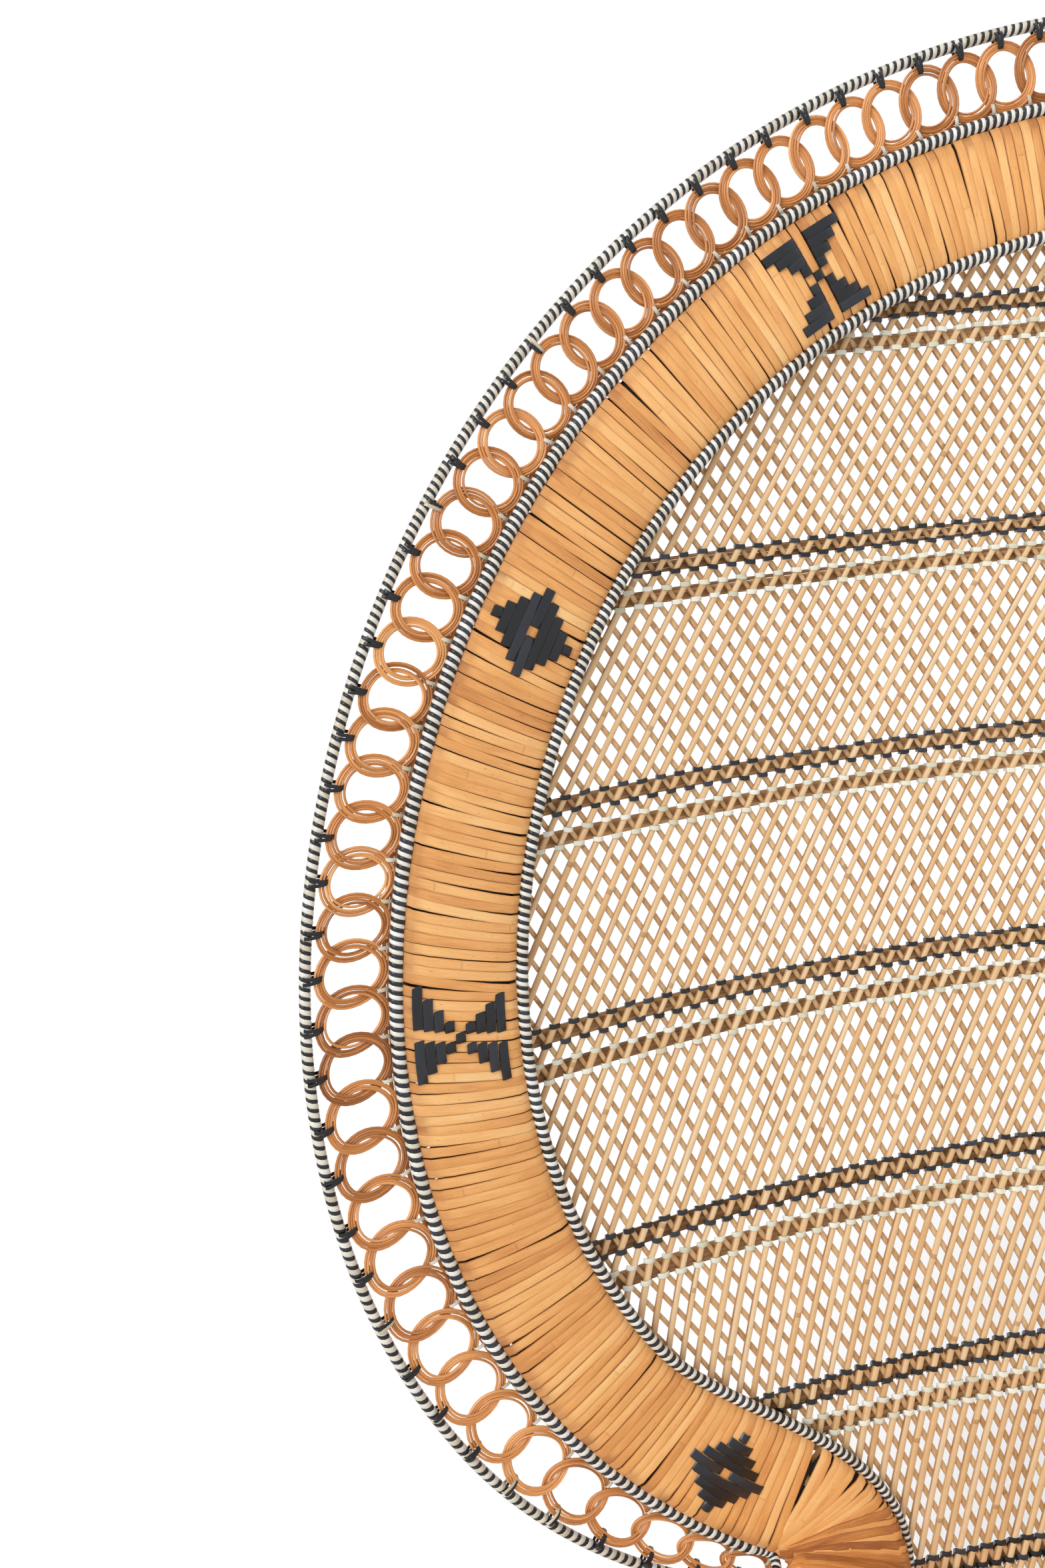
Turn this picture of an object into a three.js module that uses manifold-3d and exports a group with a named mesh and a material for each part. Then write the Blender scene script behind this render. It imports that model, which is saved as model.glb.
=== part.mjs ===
// Peacock chair: a round cane fan on a wrapped tub seat and an hourglass foot.
// Millimetres, +Z up, the sitter faces -Y, +X is the viewer's right.
import * as THREE from 'three';
import { mergeGeometries, mergeVertices } from 'three/addons/utils/BufferGeometryUtils.js';
import Module from 'manifold-3d';

const wasm = await Module();
wasm.setup();

// Fan: circles about one centre, laid on a shell that leans back and curls forward
const fan_centre_height = 1008;
const fan_lean_share = 0.1717;
const fan_curl_depth = 151.5;
const fan_curl_half_width = 550;
const fan_step_angle = 0.1784;
const fan_steps = 14;
const rim_extra_steps = 0.4;

const mid_rim_radius = 500;
const border_width = 49;
const band_span = 72;
const outer_rim_diameter = 7;
const mid_rim_diameter = 8.6;
const inner_rim_diameter = 7;
const outer_rim_setback = 8.1;
const rim_lift = 1;
const rim_sides = 6;
const pole_sides = 4;
const clearance = 0.3;

// The outer rim closes in on the mid rim above the arm
const rim_taper_start_angle = 2.06;
const rim_taper_end_gap = 27;

// Band of flat cane wound round two frame poles
const band_thickness = 14;
const band_skin = 1.6;
const frame_pole_diameter = 8;
const frame_pole_inset = 9;
const pole_lead_steps = 0.15;

// Chain of interlinked cane rings
const ring_end_angle = 2.37;
const ring_strand_width = 6;
const ring_thickness = 3;
const ring_flat_share = 0.35;
const ring_cap_share = 0.94;
const ring_overlap_width = 12.8;
const ring_top_length = 25.1;
const ring_side_length = 40.6;
const ring_stretch_start_angle = 1.4;
const ring_stretch_end_angle = 2.2;
const ring_cane_width = 5;
const ring_cane_thickness = 3;
const ring_rim_gap = 1.6;
const ring_cane_gap = 1.9;

// Lattice of sticks: one layer leans each way, belts of level sticks run behind
const stick_pitch = 12.1;
const stick_drawn_every = 4;
const stick_width = 4.4;
const stick_thickness = 3.6;
const shortest_stick = 40;
const net_shift_share = 0.12;
const net_narrow_start_share = -0.36;
const net_narrow_share = 0.285;

// Rows of crossings: each belt's first row, its level and spacing as shares of the mid rim's radius
const belt_rows = [0, 15, 29, 42, 54, 65, 76];
const belt_level_shares = [0.786, 0.5132, 0.2512, -0.0218, -0.3092, -0.598, -0.91];
const row_spacing_shares = [0.0182, 0.0179, 0.019, 0.0216, 0.0248, 0.027, 0.0288];
const rows_above = 8;
const rows_below = 20;
const row_reach_share = 0.01;
const lattice_setback = 8.6;
const lattice_edge_width = 8;
const lattice_edge_relief = 0.2;
const lattice_edge_offset = 12;
const facet_width = 112;
const steep_share = 0.3;

const belt_fill_share = 0.85;
const belt_thickness = 4;
const belt_end_width = 8;

// Neck, where the fan narrows to the lower back
const neck_half_width = 193;
const neck_depth = 446;
const neck_start_step = 12;
const neck_top_length = 86;
const neck_foot_length = 96;
const neck_steps = 6;

// Seat, a rounded D in plan, with half widths and half depths as shares
const seat_height = 405;
const wall_centre_y = -363;
const wall_half_width = 270;
const wall_half_depth = 274;
const wall_outline_shares = [
  [0, 1], [0.37, 0.985], [0.72, 0.925], [0.93, 0.66], [1, 0.2],
  [0.985, -0.2], [0.85, -0.62], [0.5, -0.9], [0, -1],
];
const wall_steps = 12;
const seat_hoop_size = 22;
const seat_hoop_inset = 17.5;
const seat_weave_thickness = 7;
const seat_bar_height = 15;
const seat_bar_width = 22;
const seat_bar_spread_width = 210;
const apron_height = 58;
const apron_thickness = 12;
const trim_diameter = 7;

// Arms: wide wrapped rolls from the neck round to the front of the seat
const arm_width = 84;
const arm_thickness = 30;
const arm_skin = 2;
const arm_trim_lift = 1;
const arm_steps = 10;
const arm_rear_inset = 16.6;
const arm_rear_ahead = 31.4;
const arm_rear_drop = 45;
const arm_shoulder_x = 300;
const arm_shoulder_y = -220;
const arm_top_height = 602;
const arm_reach_x = 326;
const arm_reach_y = -345;
const arm_bend_x = 304;
const arm_bend_y = -500;
const arm_bend_drop = 17;
const arm_front_x = 252;
const arm_front_y = -600;
const arm_front_drop = 82;
const arm_foot_x = 190;
const arm_foot_y = -592;

// Side lattices under the arms
const side_stick_count = 11;
const side_stick_reach = 3;
const side_layer_gap = 3;
const side_rail_height = 6;
const side_top_gap = 5;
const side_start_share = 0.335;
const side_end_share = 0.69;
const side_arm_start_share = 0.03;
const side_arm_end_share = 0.8;

// Hourglass foot
const foot_centre_y = -360;
const foot_ring_radius = 247;
const foot_ring_width = 30;
const foot_ring_height = 22;
const base_stick_radius = 252;
const base_stick_count = 24;
const base_twist_steps = 5;
const base_stick_size = 3.6;
const base_rail_height = 5;
const base_rail_width = 5;
const base_layer_gap = 4.2;
const base_pole_count = 8;
const base_pole_diameter = 18;
const base_pole_steps = 4;
const base_top_hoop_height = 20;
const waist_hoop_height = 36;
const waist_hoop_thickness = 7;
const foot_band_height = 62;
const foot_band_thickness = 10;
const foot_band_lift = 12;

// Looks of the cane and its trims
const honey = { color: 0xc98a45, roughness: 0.5, metalness: 0 };
const straw = { color: 0xc9a26a, roughness: 0.6, metalness: 0 };
const brown = { color: 0xa8682f, roughness: 0.45, metalness: 0 };
const dark = { color: 0x8a6437, roughness: 0.6, metalness: 0 };
const wrapped = { color: 0x4a4843, roughness: 0.4, metalness: 0 };

const half = 1 / 2;
const probe_share = 0.01;
const merge_share = 0.001;
const full_turn = 2 * Math.PI;
const chair = new THREE.Group();
const across_chair = new THREE.Vector3(1, 0, 0);

// Outlines of sections
function round(sides, diameter) {
  const points = [];
  for (let i = 0; i < sides; i += 1) {
    const a = (i / sides) * full_turn;
    points.push(new THREE.Vector2(Math.cos(a) * diameter * half, Math.sin(a) * diameter * half));
  }
  return new THREE.Shape(points);
}

function rectangle(width, height) {
  const [w, h] = [width * half, height * half];
  return new THREE.Shape([
    new THREE.Vector2(-w, -h), new THREE.Vector2(w, -h), new THREE.Vector2(w, h), new THREE.Vector2(-w, h),
  ]);
}

const crown_shares = [
  [-1, 0], [-0.8, -0.75], [0, -1], [0.8, -0.75], [1, 0], [0.8, 0.75], [0, 1], [-0.8, 0.75],
];

function crowned(width, thickness) {
  return crown_shares.map(([x, y]) => new THREE.Vector2(x * width * half, y * thickness * half));
}

function sleeve(width, thickness, skin) {
  const shape = new THREE.Shape(crowned(width, thickness));
  shape.holes.push(new THREE.Path(crowned(width - 2 * skin, thickness - 2 * skin)));
  return shape;
}

// Bare geometry with its faces pointing out
function bare(geometry) {
  geometry.deleteAttribute('normal');
  geometry.deleteAttribute('uv');
  const merged = mergeVertices(geometry, clearance * merge_share);
  const at = merged.attributes.position;
  const index = merged.index.array;
  const [a, b, c] = [new THREE.Vector3(), new THREE.Vector3(), new THREE.Vector3()];
  let volume = 0;
  for (let i = 0; i < index.length; i += 3) {
    a.fromBufferAttribute(at, index[i]);
    b.fromBufferAttribute(at, index[i + 1]);
    c.fromBufferAttribute(at, index[i + 2]);
    volume += a.dot(b.cross(c));
  }
  if (volume < 0) {
    for (let i = 0; i < index.length; i += 3) {
      [index[i], index[i + 1]] = [index[i + 1], index[i]];
    }
  }
  return merged;
}

// A bar whose section is carried through a list of stations
function bar(section, stations) {
  const steps = stations.length - 1;
  const geometry = new THREE.ExtrudeGeometry(section, { depth: steps, steps, bevelEnabled: false });
  const at = geometry.attributes.position;
  for (let i = 0; i < at.count; i += 1) {
    const station = stations[Math.round(at.getZ(i))];
    const point = station.at.clone();
    point.addScaledVector(station.side, at.getX(i)).addScaledVector(station.up, at.getY(i));
    at.setXYZ(i, point.x, point.y, point.z);
  }
  return bare(geometry);
}

function toSolid(geometry) {
  const mesh = new wasm.Mesh({
    numProp: 3,
    vertProperties: new Float32Array(geometry.attributes.position.array),
    triVerts: new Uint32Array(geometry.index.array),
  });
  return new wasm.Manifold(mesh);
}

function joined(geometries) {
  let solid = toSolid(geometries[0]);
  for (const geometry of geometries.slice(1)) {
    solid = solid.add(toSolid(geometry));
  }
  const mesh = solid.getMesh();
  const whole = new THREE.BufferGeometry();
  whole.setAttribute('position', new THREE.BufferAttribute(new Float32Array(mesh.vertProperties), 3));
  whole.setIndex(new THREE.BufferAttribute(new Uint32Array(mesh.triVerts), 1));
  return whole;
}

function add(name, geometry, look) {
  const mesh = new THREE.Mesh(geometry, new THREE.MeshStandardMaterial(look));
  mesh.name = name;
  chair.add(mesh);
}

// The right-hand piece and its mirror image across x = 0
function addPair(name, geometry, look) {
  const image = geometry.clone();
  image.scale(-1, 1, 1);
  add(`${name}_left`, bare(image), look);
  add(`${name}_right`, geometry, look);
}

// Stations where a path has points and directions, its sections turned to face "up"
function stationsOn(points, tangents, ups) {
  return points.map((at, i) => {
    const tangent = tangents[i].clone().normalize();
    const up = ups[i].clone().addScaledVector(tangent, -ups[i].dot(tangent)).normalize();
    return { at, side: new THREE.Vector3().crossVectors(tangent, up), up };
  });
}

// Stations whose sections follow the path without turning about it
function carried(points, tangents, first) {
  const ups = [first];
  for (let i = 1; i < points.length; i += 1) {
    const tangent = tangents[i].clone().normalize();
    ups.push(ups[i - 1].clone().addScaledVector(tangent, -ups[i - 1].dot(tangent)).normalize());
  }
  return stationsOn(points, tangents, ups);
}

function tangentsOf(points) {
  return points.map((point, i) => {
    const before = points[Math.max(i - 1, 0)];
    const after = points[Math.min(i + 1, points.length - 1)];
    return after.clone().sub(before);
  });
}

// The fan's shell: x across, level above the fan centre, ahead towards the sitter
function curl(x) {
  return fan_curl_depth * (x / fan_curl_half_width) ** 2;
}

function facetCurl(x) {
  const low = Math.floor(x / facet_width) * facet_width;
  const share = (x - low) / facet_width;
  return curl(low) * (1 - share) + curl(low + facet_width) * share;
}

function fanPoint(x, level, ahead, curlAt = curl) {
  return new THREE.Vector3(x, fan_lean_share * level - curlAt(x) - ahead, fan_centre_height + level);
}

function fanNormal(x) {
  return new THREE.Vector3((-2 * curl(x)) / (x || 1), -1, fan_lean_share).normalize();
}

function circlePoint(angle, radius, ahead) {
  return fanPoint(radius * Math.sin(angle), radius * Math.cos(angle), ahead);
}

const outer_rim_radius = mid_rim_radius + border_width;
const inner_rim_radius = mid_rim_radius - band_span;
const rim_end_angle = (fan_steps + rim_extra_steps) * fan_step_angle;

// Stations round the fan's right half from the top, radiusAt giving the radius at an angle
function fanStations(radiusAt, ahead, extra = 0) {
  const points = [];
  const tangents = [];
  const probe = fan_step_angle * probe_share;
  const place = (angle) => circlePoint(angle, radiusAt(angle), ahead);
  const count = Math.ceil(fan_steps + extra);
  for (let i = 0; i <= count; i += 1) {
    const angle = Math.max(clearance * half / radiusAt(0), Math.min(i, fan_steps + extra) * fan_step_angle);
    points.push(place(angle));
    tangents.push(i === 0 ? across_chair : place(angle + probe).sub(place(angle - probe)));
  }
  return stationsOn(points, tangents, points.map((point) => fanNormal(point.x)));
}

// A chord between two steps lies this share of the radius nearer the centre
const chord_share = Math.cos(fan_step_angle * half);

function outerRadiusAt(angle) {
  const share = Math.max(0, (angle - rim_taper_start_angle) / (rim_end_angle - rim_taper_start_angle));
  return outer_rim_radius - (outer_rim_radius - mid_rim_radius - rim_taper_end_gap) * share ** 2;
}

const band_inner = inner_rim_radius + inner_rim_diameter * half + clearance;
const band_outer = (mid_rim_radius - mid_rim_diameter * half) - clearance;
const band_width = band_outer - band_inner;
const band_radius = (band_inner + band_outer) * half;
const band_end = circlePoint(fan_steps * fan_step_angle, band_radius, 0);

// Ring chain, joined flat along its own length and then laid on the fan
const ring_ahead = rim_lift - mid_rim_diameter * half - clearance - ring_thickness;

// Without the triangles that lie whole in one of the planes at the given x
function openedAt(geometry, planes) {
  const at = geometry.attributes.position;
  const kept = [];
  for (let i = 0; i < at.count; i += 3) {
    const inPlane = (x) => [0, 1, 2].every((k) => Math.abs(at.getX(i + k) - x) < clearance * probe_share);
    if (!planes.some(inPlane)) {
      kept.push(i, i + 1, i + 2);
    }
  }
  geometry.setIndex(kept);
  return geometry;
}

// From one ring to the next: close at the top, stretched along the rim towards the arm
function ringStep(angle) {
  const share = (angle - ring_stretch_start_angle) / (ring_stretch_end_angle - ring_stretch_start_angle);
  return THREE.MathUtils.lerp(ring_top_length, ring_side_length, THREE.MathUtils.clamp(share, 0, 1));
}

function ringChain() {
  const innerEdge = mid_rim_radius + ring_strand_width * half;
  const rings = [];
  for (let angle = 0; angle < ring_end_angle;) {
    const step = ringStep(angle);
    const farRadius = outerRadiusAt(angle + step / mid_rim_radius);
    const edge = farRadius * chord_share - outer_rim_diameter * half - ring_rim_gap;
    const radius = (edge + innerEdge) * half;
    const [size, long] = [(edge - innerEdge) * half, (step + ring_overlap_width) * half];
    angle += rings.length === 0 ? (long + clearance) / radius : (step * half) / radius;
    rings.push({ angle, radius, size, long, link: (step * half) / long });
    angle += (step * half) / radius;
  }
  const place = ({ angle: centre, radius, size, long }, [x, y]) => new THREE.Vector2(
    (centre + (x * long) / radius) * mid_rim_radius, radius + y * size,
  );
  const notch = (ring, side, sign) => place(ring, [side * ring.link, sign * Math.sqrt(1 - ring.link ** 2)]);
  const notches = rings.slice(1).map((ring, i) => [-1, 1].map(
    (sign) => notch(rings[i], 1, sign).add(notch(ring, -1, sign)).multiplyScalar(half),
  ));
  const cells = rings.map((ring, i) => {
    const [f, c] = [ring_flat_share, ring_cap_share];
    const cap = (sign) => [place(ring, [sign * c, -f]), place(ring, [sign * c, f])];
    const [leftLow, leftHigh] = notches[i - 1] ?? cap(-1);
    const [rightLow, rightHigh] = notches[i] ?? cap(1);
    const shape = new THREE.Shape([
      leftLow, place(ring, [-f, -c]), place(ring, [f, -c]), rightLow,
      rightHigh, place(ring, [f, c]), place(ring, [-f, c]), leftHigh,
    ]);
    const inner = 1 - ring_strand_width / ring.size;
    const pitch = 2 * ring.link;
    const corner = (pitch ** 2 + inner ** 2 - 1) / (2 * pitch);
    const rise = Math.sqrt(inner ** 2 - corner ** 2);
    const eye = [[0, inner], [corner, rise], [corner, -rise], [0, -inner], [-corner, -rise], [-corner, rise]];
    shape.holes.push(new THREE.Path(eye.map((point) => place(ring, point))));
    const shared = [notches[i - 1], notches[i]].filter(Boolean).map(([low]) => low.x);
    return openedAt(new THREE.ExtrudeGeometry(shape, { depth: ring_thickness, bevelEnabled: false }), shared);
  });
  const chain = mergeGeometries(cells);
  const at = chain.attributes.position;
  for (let i = 0; i < at.count; i += 1) {
    const point = circlePoint(at.getX(i) / mid_rim_radius, at.getY(i), ring_ahead + at.getZ(i));
    at.setXYZ(i, point.x, point.y, point.z);
  }
  return bare(chain);
}

// Outline of the lattice's edge and of the inner rim: a circle, then the neck's S bend
const apron_top = seat_height + clearance + trim_diameter + clearance;
const foot_level = apron_top - fan_centre_height;

function fanOutline(offset) {
  const radius = inner_rim_radius + offset;
  const outline = [];
  for (let i = 0; i <= neck_start_step; i += 1) {
    const a = i * fan_step_angle;
    outline.push(new THREE.Vector2(radius * Math.sin(a), radius * Math.cos(a)));
  }
  const a = neck_start_step * fan_step_angle;
  const start = outline[neck_start_step];
  const end = new THREE.Vector2(neck_half_width + offset, -neck_depth);
  const along = new THREE.Vector2(Math.cos(a), -Math.sin(a)).multiplyScalar(neck_top_length);
  const bend = new THREE.CubicBezierCurve(
    start, start.clone().add(along), new THREE.Vector2(end.x, end.y + neck_foot_length), end,
  );
  outline.push(...bend.getPoints(neck_steps).slice(1));
  outline.push(new THREE.Vector2(end.x, foot_level));
  return outline;
}

const edge_outline = fanOutline(lattice_edge_offset);

function edgeHalfWidth(level) {
  for (let i = 0; i < edge_outline.length - 1; i += 1) {
    const [a, b] = [edge_outline[i], edge_outline[i + 1]];
    if (level <= a.y && level >= b.y) {
      return a.x + ((b.x - a.x) * (a.y - level)) / (a.y - b.y);
    }
  }
  return 0;
}

// Bars that lie flat on the shell's facets, with a station wherever they cross a facet line
function facetBar(path, width, thickness, ahead) {
  const points = [path[0]];
  for (let i = 0; i < path.length - 1; i += 1) {
    const [a, b] = [path[i], path[i + 1]];
    const lines = [];
    const low = Math.ceil(Math.min(a.x, b.x) / facet_width);
    const high = Math.floor(Math.max(a.x, b.x) / facet_width);
    for (let line = low; line <= high; line += 1) {
      const share = (line * facet_width - a.x) / (b.x - a.x);
      if (share > 0 && share < 1) {
        lines.push({ share, at: new THREE.Vector2(line * facet_width, a.y + (b.y - a.y) * share) });
      }
    }
    lines.sort((p, q) => p.share - q.share);
    points.push(...lines.map((entry) => entry.at), b);
  }
  const stations = points.map((point, i) => {
    const before = points[Math.max(i - 1, 0)];
    const after = points[Math.min(i + 1, points.length - 1)];
    const along = after.clone().sub(before).normalize();
    const onLine = Math.abs(point.x / facet_width - Math.round(point.x / facet_width)) < merge_share;
    const across = onLine && Math.abs(along.x) > steep_share
      ? new THREE.Vector2(0, Math.sign(along.x) / Math.abs(along.x))
      : new THREE.Vector2(-along.y, along.x);
    const at = fanPoint(point.x, point.y, ahead, facetCurl);
    const nudge = clearance * probe_share;
    const beside = point.clone().addScaledVector(across, nudge);
    const side = fanPoint(beside.x, beside.y, ahead, facetCurl).sub(at).divideScalar(nudge);
    return { at, side, up: new THREE.Vector3(0, -1, 0) };
  });
  return bar(rectangle(width, thickness), stations);
}

// Level of a row of crossings, counted down from the first belt's top row
function rowLevel(row) {
  const radius = mid_rim_radius;
  const last = belt_rows.length - 1;
  const k = Math.min(last - 1, Math.max(0, belt_rows.filter((first) => first <= row).length - 1));
  const span = belt_rows[k + 1] - belt_rows[k];
  const u = (row - belt_rows[k]) / span;
  const [high, low] = [belt_level_shares[k] * radius, belt_level_shares[k + 1] * radius];
  const [above, below] = [row_spacing_shares[k] * radius, row_spacing_shares[k + 1] * radius];
  if (u < 0) {
    return high - above * (row - belt_rows[k]);
  }
  if (u > 1) {
    return low - below * (row - belt_rows[k + 1]);
  }
  const ease = u * u * (3 - 2 * u);
  return high + (low - high) * ease - span * u * (1 - u) * (above * (1 - u) - below * u);
}

function pitchAt(level) {
  const drop = Math.max(0, net_narrow_start_share - level / mid_rim_radius);
  return stick_pitch * (1 - net_narrow_share * drop);
}

// Where a stick crosses a row: hand 1 leans right, -1 leans left
function netPoint(index, row, hand) {
  const level = rowLevel(row);
  return new THREE.Vector2(pitchAt(level) * (index - hand * row * half + net_shift_share), level);
}

function insideEdge(point) {
  return point.y > foot_level + lattice_edge_width * half && Math.abs(point.x) < edgeHalfWidth(point.y);
}

// The lengths of a stick that lie inside the lattice's edge
function stickPaths(index, hand) {
  const inside = (row) => insideEdge(netPoint(index, row, hand));
  const end = (row, direction) => {
    let last = row;
    for (let step = direction * half; Math.abs(step) > row_reach_share; step *= half) {
      last += inside(last + step) ? step : 0;
    }
    return netPoint(index, last, hand);
  };
  const paths = [];
  const last_row = belt_rows[belt_rows.length - 1] + rows_below;
  for (let row = -rows_above; row <= last_row; row += 1) {
    if (inside(row)) {
      const first = row;
      while (inside(row + 1)) {
        row += 1;
      }
      const middle = Array.from({ length: row - first + 1 }, (_, i) => netPoint(index, first + i, hand));
      paths.push([end(row, 1), ...middle.reverse(), end(first, -1)]);
    }
  }
  return paths.filter((path) => path[0].distanceTo(path[path.length - 1]) > shortest_stick);
}

// Only the facet crossings and the two ends of a stick's path are kept
function thinned(path) {
  const kept = [path[0]];
  for (let i = 1; i < path.length; i += 1) {
    const [a, b] = [path[i - 1], path[i]];
    const line = Math.max(Math.floor(a.x / facet_width), Math.floor(b.x / facet_width));
    if (Math.floor(a.x / facet_width) !== Math.floor(b.x / facet_width)) {
      const share = (line * facet_width - a.x) / (b.x - a.x);
      kept.push(new THREE.Vector2(line * facet_width, a.y + (b.y - a.y) * share));
    }
  }
  kept.push(path[path.length - 1]);
  return kept;
}

function latticeLayer(hand, ahead) {
  const rightEdge = edge_outline;
  const leftEdge = edge_outline.slice(1).reverse().map((p) => new THREE.Vector2(-p.x, p.y));
  const edgeThickness = stick_thickness + 2 * lattice_edge_relief;
  const foot = edge_outline[edge_outline.length - 1];
  const footLevel = foot.y + lattice_edge_width * half;
  const footPath = [new THREE.Vector2(-foot.x, footLevel), new THREE.Vector2(foot.x, footLevel)];
  const pieces = [
    facetBar([...leftEdge, ...rightEdge], lattice_edge_width, edgeThickness, ahead),
    facetBar(footPath, lattice_edge_width, edgeThickness - lattice_edge_relief, ahead),
  ];
  const reach = Math.ceil((2 * outer_rim_radius) / (stick_pitch * stick_drawn_every));
  for (let i = -reach; i <= reach; i += 1) {
    for (const path of stickPaths(i * stick_drawn_every, hand)) {
      pieces.push(facetBar(thinned(path), stick_width, stick_thickness, ahead));
    }
  }
  return joined(pieces);
}

const layer_depth = stick_thickness + 2 * lattice_edge_relief;
const front_ahead = -(lattice_setback + layer_depth * half);
const back_ahead = front_ahead - layer_depth - clearance;
const belt_ahead = back_ahead - layer_depth * half - clearance - belt_thickness * half;

// A dark and a light level bar, each between two rows, joined near their ends
function belt(row) {
  const levels = [0, 1, 2, 3].map((i) => rowLevel(row + i));
  const width = Math.min(...levels.map(edgeHalfWidth));
  const height = (levels[0] - levels[1]) * belt_fill_share;
  const [dark_level, light_level] = [rowLevel(row + half), rowLevel(row + 2 + half)];
  const across = (y) => [new THREE.Vector2(-width, y), new THREE.Vector2(width, y)];
  const upright = (x) => [new THREE.Vector2(x, light_level), new THREE.Vector2(x, dark_level)];
  const end_thickness = belt_thickness - lattice_edge_relief;
  const end_x = width - belt_end_width;
  return joined([
    facetBar(across(dark_level), height, belt_thickness, belt_ahead),
    facetBar(across(light_level), height, belt_thickness, belt_ahead),
    facetBar(upright(-end_x), belt_end_width, end_thickness, belt_ahead),
    facetBar(upright(end_x), belt_end_width, end_thickness, belt_ahead),
  ]);
}

// Arm path, from the fan's end round to the apron, its sections facing up and then forward
function armCurve() {
  return new THREE.CatmullRomCurve3([
    band_end.clone().sub(new THREE.Vector3(arm_rear_inset, arm_rear_ahead, arm_rear_drop)),
    new THREE.Vector3(arm_shoulder_x, arm_shoulder_y, arm_top_height),
    new THREE.Vector3(arm_reach_x, arm_reach_y, arm_top_height),
    new THREE.Vector3(arm_bend_x, arm_bend_y, arm_top_height - arm_bend_drop),
    new THREE.Vector3(arm_front_x, arm_front_y, arm_top_height - arm_front_drop),
    new THREE.Vector3(arm_foot_x, arm_foot_y, apron_top + clearance),
  ]);
}

function armStations(lateral, lift) {
  const curve = armCurve();
  const stations = [];
  for (let i = 0; i <= arm_steps; i += 1) {
    const tangent = curve.getTangent(i / arm_steps);
    if (i === arm_steps) {
      tangent.set(0, 0, -1);
    }
    const up = new THREE.Vector3().crossVectors(tangent, across_chair).normalize();
    const side = new THREE.Vector3().crossVectors(up, tangent);
    const at = curve.getPoint(i / arm_steps).addScaledVector(side, lateral).addScaledVector(up, lift);
    stations.push({ at, side, up, tangent });
  }
  return stations;
}

// The two frame poles: the inner one runs on down the neck, the outer one into the arm
const pole_offset = (band_width * half - band_skin) - frame_pole_inset - frame_pole_diameter * half;

function innerPole() {
  const stations = fanStations(() => band_radius - pole_offset, 0);
  const neck_x = neck_half_width + lattice_edge_offset + lattice_edge_width * half + frame_pole_diameter;
  const levels = [frame_pole_diameter * 3 - neck_depth, -frame_pole_diameter - neck_depth, foot_level];
  const points = levels.map((level, i) => fanPoint(neck_x, level, i * frame_pole_diameter * half));
  const down = new THREE.Vector3(0, 0, -1);
  const more = stationsOn(points, points.map(() => down), points.map((point) => fanNormal(point.x)));
  return bar(round(pole_sides, frame_pole_diameter), [...stations, ...more]);
}

function outerPole() {
  const fan = fanStations(() => band_radius + pole_offset, 0, pole_lead_steps);
  const arm = armStations(0, 0);
  const lead = arm[0].at.clone().addScaledVector(arm[0].tangent, -frame_pole_diameter);
  const points = [...fan.map((station) => station.at), lead, ...arm.map((station) => station.at)];
  const tangents = tangentsOf(points);
  tangents[0] = across_chair;
  return bar(round(pole_sides, frame_pole_diameter), carried(points, tangents, fanNormal(0)));
}

// Inner rim: round the fan, through the neck's bend and down to the apron
function innerRim() {
  const outline = fanOutline(0);
  const neckAhead = inner_rim_diameter * half - lattice_setback + rim_lift;
  const points = outline.map((p, i) => {
    const share = Math.min(1, Math.max(0, (i - neck_start_step) / neck_steps));
    const x = Math.max(p.x, clearance * half);
    return fanPoint(x, p.y, rim_lift + (neckAhead - rim_lift) * share);
  });
  const tangents = tangentsOf(points);
  tangents[0] = across_chair;
  tangents[tangents.length - 1] = new THREE.Vector3(0, 0, -1);
  const stations = stationsOn(points, tangents, points.map((point) => fanNormal(point.x)));
  return bar(round(rim_sides, inner_rim_diameter), stations);
}

const outer_path = fanStations(outerRadiusAt, -outer_rim_setback, rim_extra_steps);
addPair('outer_rim', bar(round(rim_sides, outer_rim_diameter), outer_path), wrapped);
const mid_path = fanStations(() => mid_rim_radius, rim_lift, rim_extra_steps);
addPair('mid_rim', bar(round(rim_sides, mid_rim_diameter), mid_path), wrapped);
addPair('inner_rim', innerRim(), wrapped);
addPair('ring_chain', ringChain(), brown);
const cane_ahead = ring_ahead - ring_cane_gap - ring_cane_thickness * half;
const cane_path = fanStations(() => mid_rim_radius + ring_strand_width, cane_ahead, rim_extra_steps);
addPair('ring_cane', bar(rectangle(ring_cane_width, ring_cane_thickness), cane_path), brown);
const band_path = fanStations(() => band_radius, 0);
addPair('fan_band', bar(sleeve(band_width, band_thickness, band_skin), band_path), honey);
addPair('inner_frame_pole', innerPole(), straw);
addPair('outer_frame_pole', outerPole(), straw);

add('lattice_front_layer', latticeLayer(1, front_ahead), straw);
add('lattice_back_layer', latticeLayer(-1, back_ahead), straw);
belt_rows.forEach((row, i) => add(`belt_${i + 1}`, belt(row), dark));

// Arms with their trims
const arm_trim_offset = (arm_width + trim_diameter) * half + clearance;
const trim_section = round(rim_sides, trim_diameter);

addPair('arm_band', bar(sleeve(arm_width, arm_thickness, arm_skin), armStations(0, 0)), honey);
addPair('arm_outer_rim', bar(trim_section, armStations(arm_trim_offset, arm_trim_lift)), wrapped);
addPair('arm_inner_rim', bar(trim_section, armStations(-arm_trim_offset, arm_trim_lift)), wrapped);

// Plan outline of the tub wall at seat level, moved out or in by an offset
const wall_curve = new THREE.CatmullRomCurve3([
  ...wall_outline_shares, ...wall_outline_shares.slice(1, -1).reverse().map(([x, y]) => [-x, y]),
].map(([x, y]) => new THREE.Vector3(x * wall_half_width, wall_centre_y + y * wall_half_depth, 0)), true);

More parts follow.
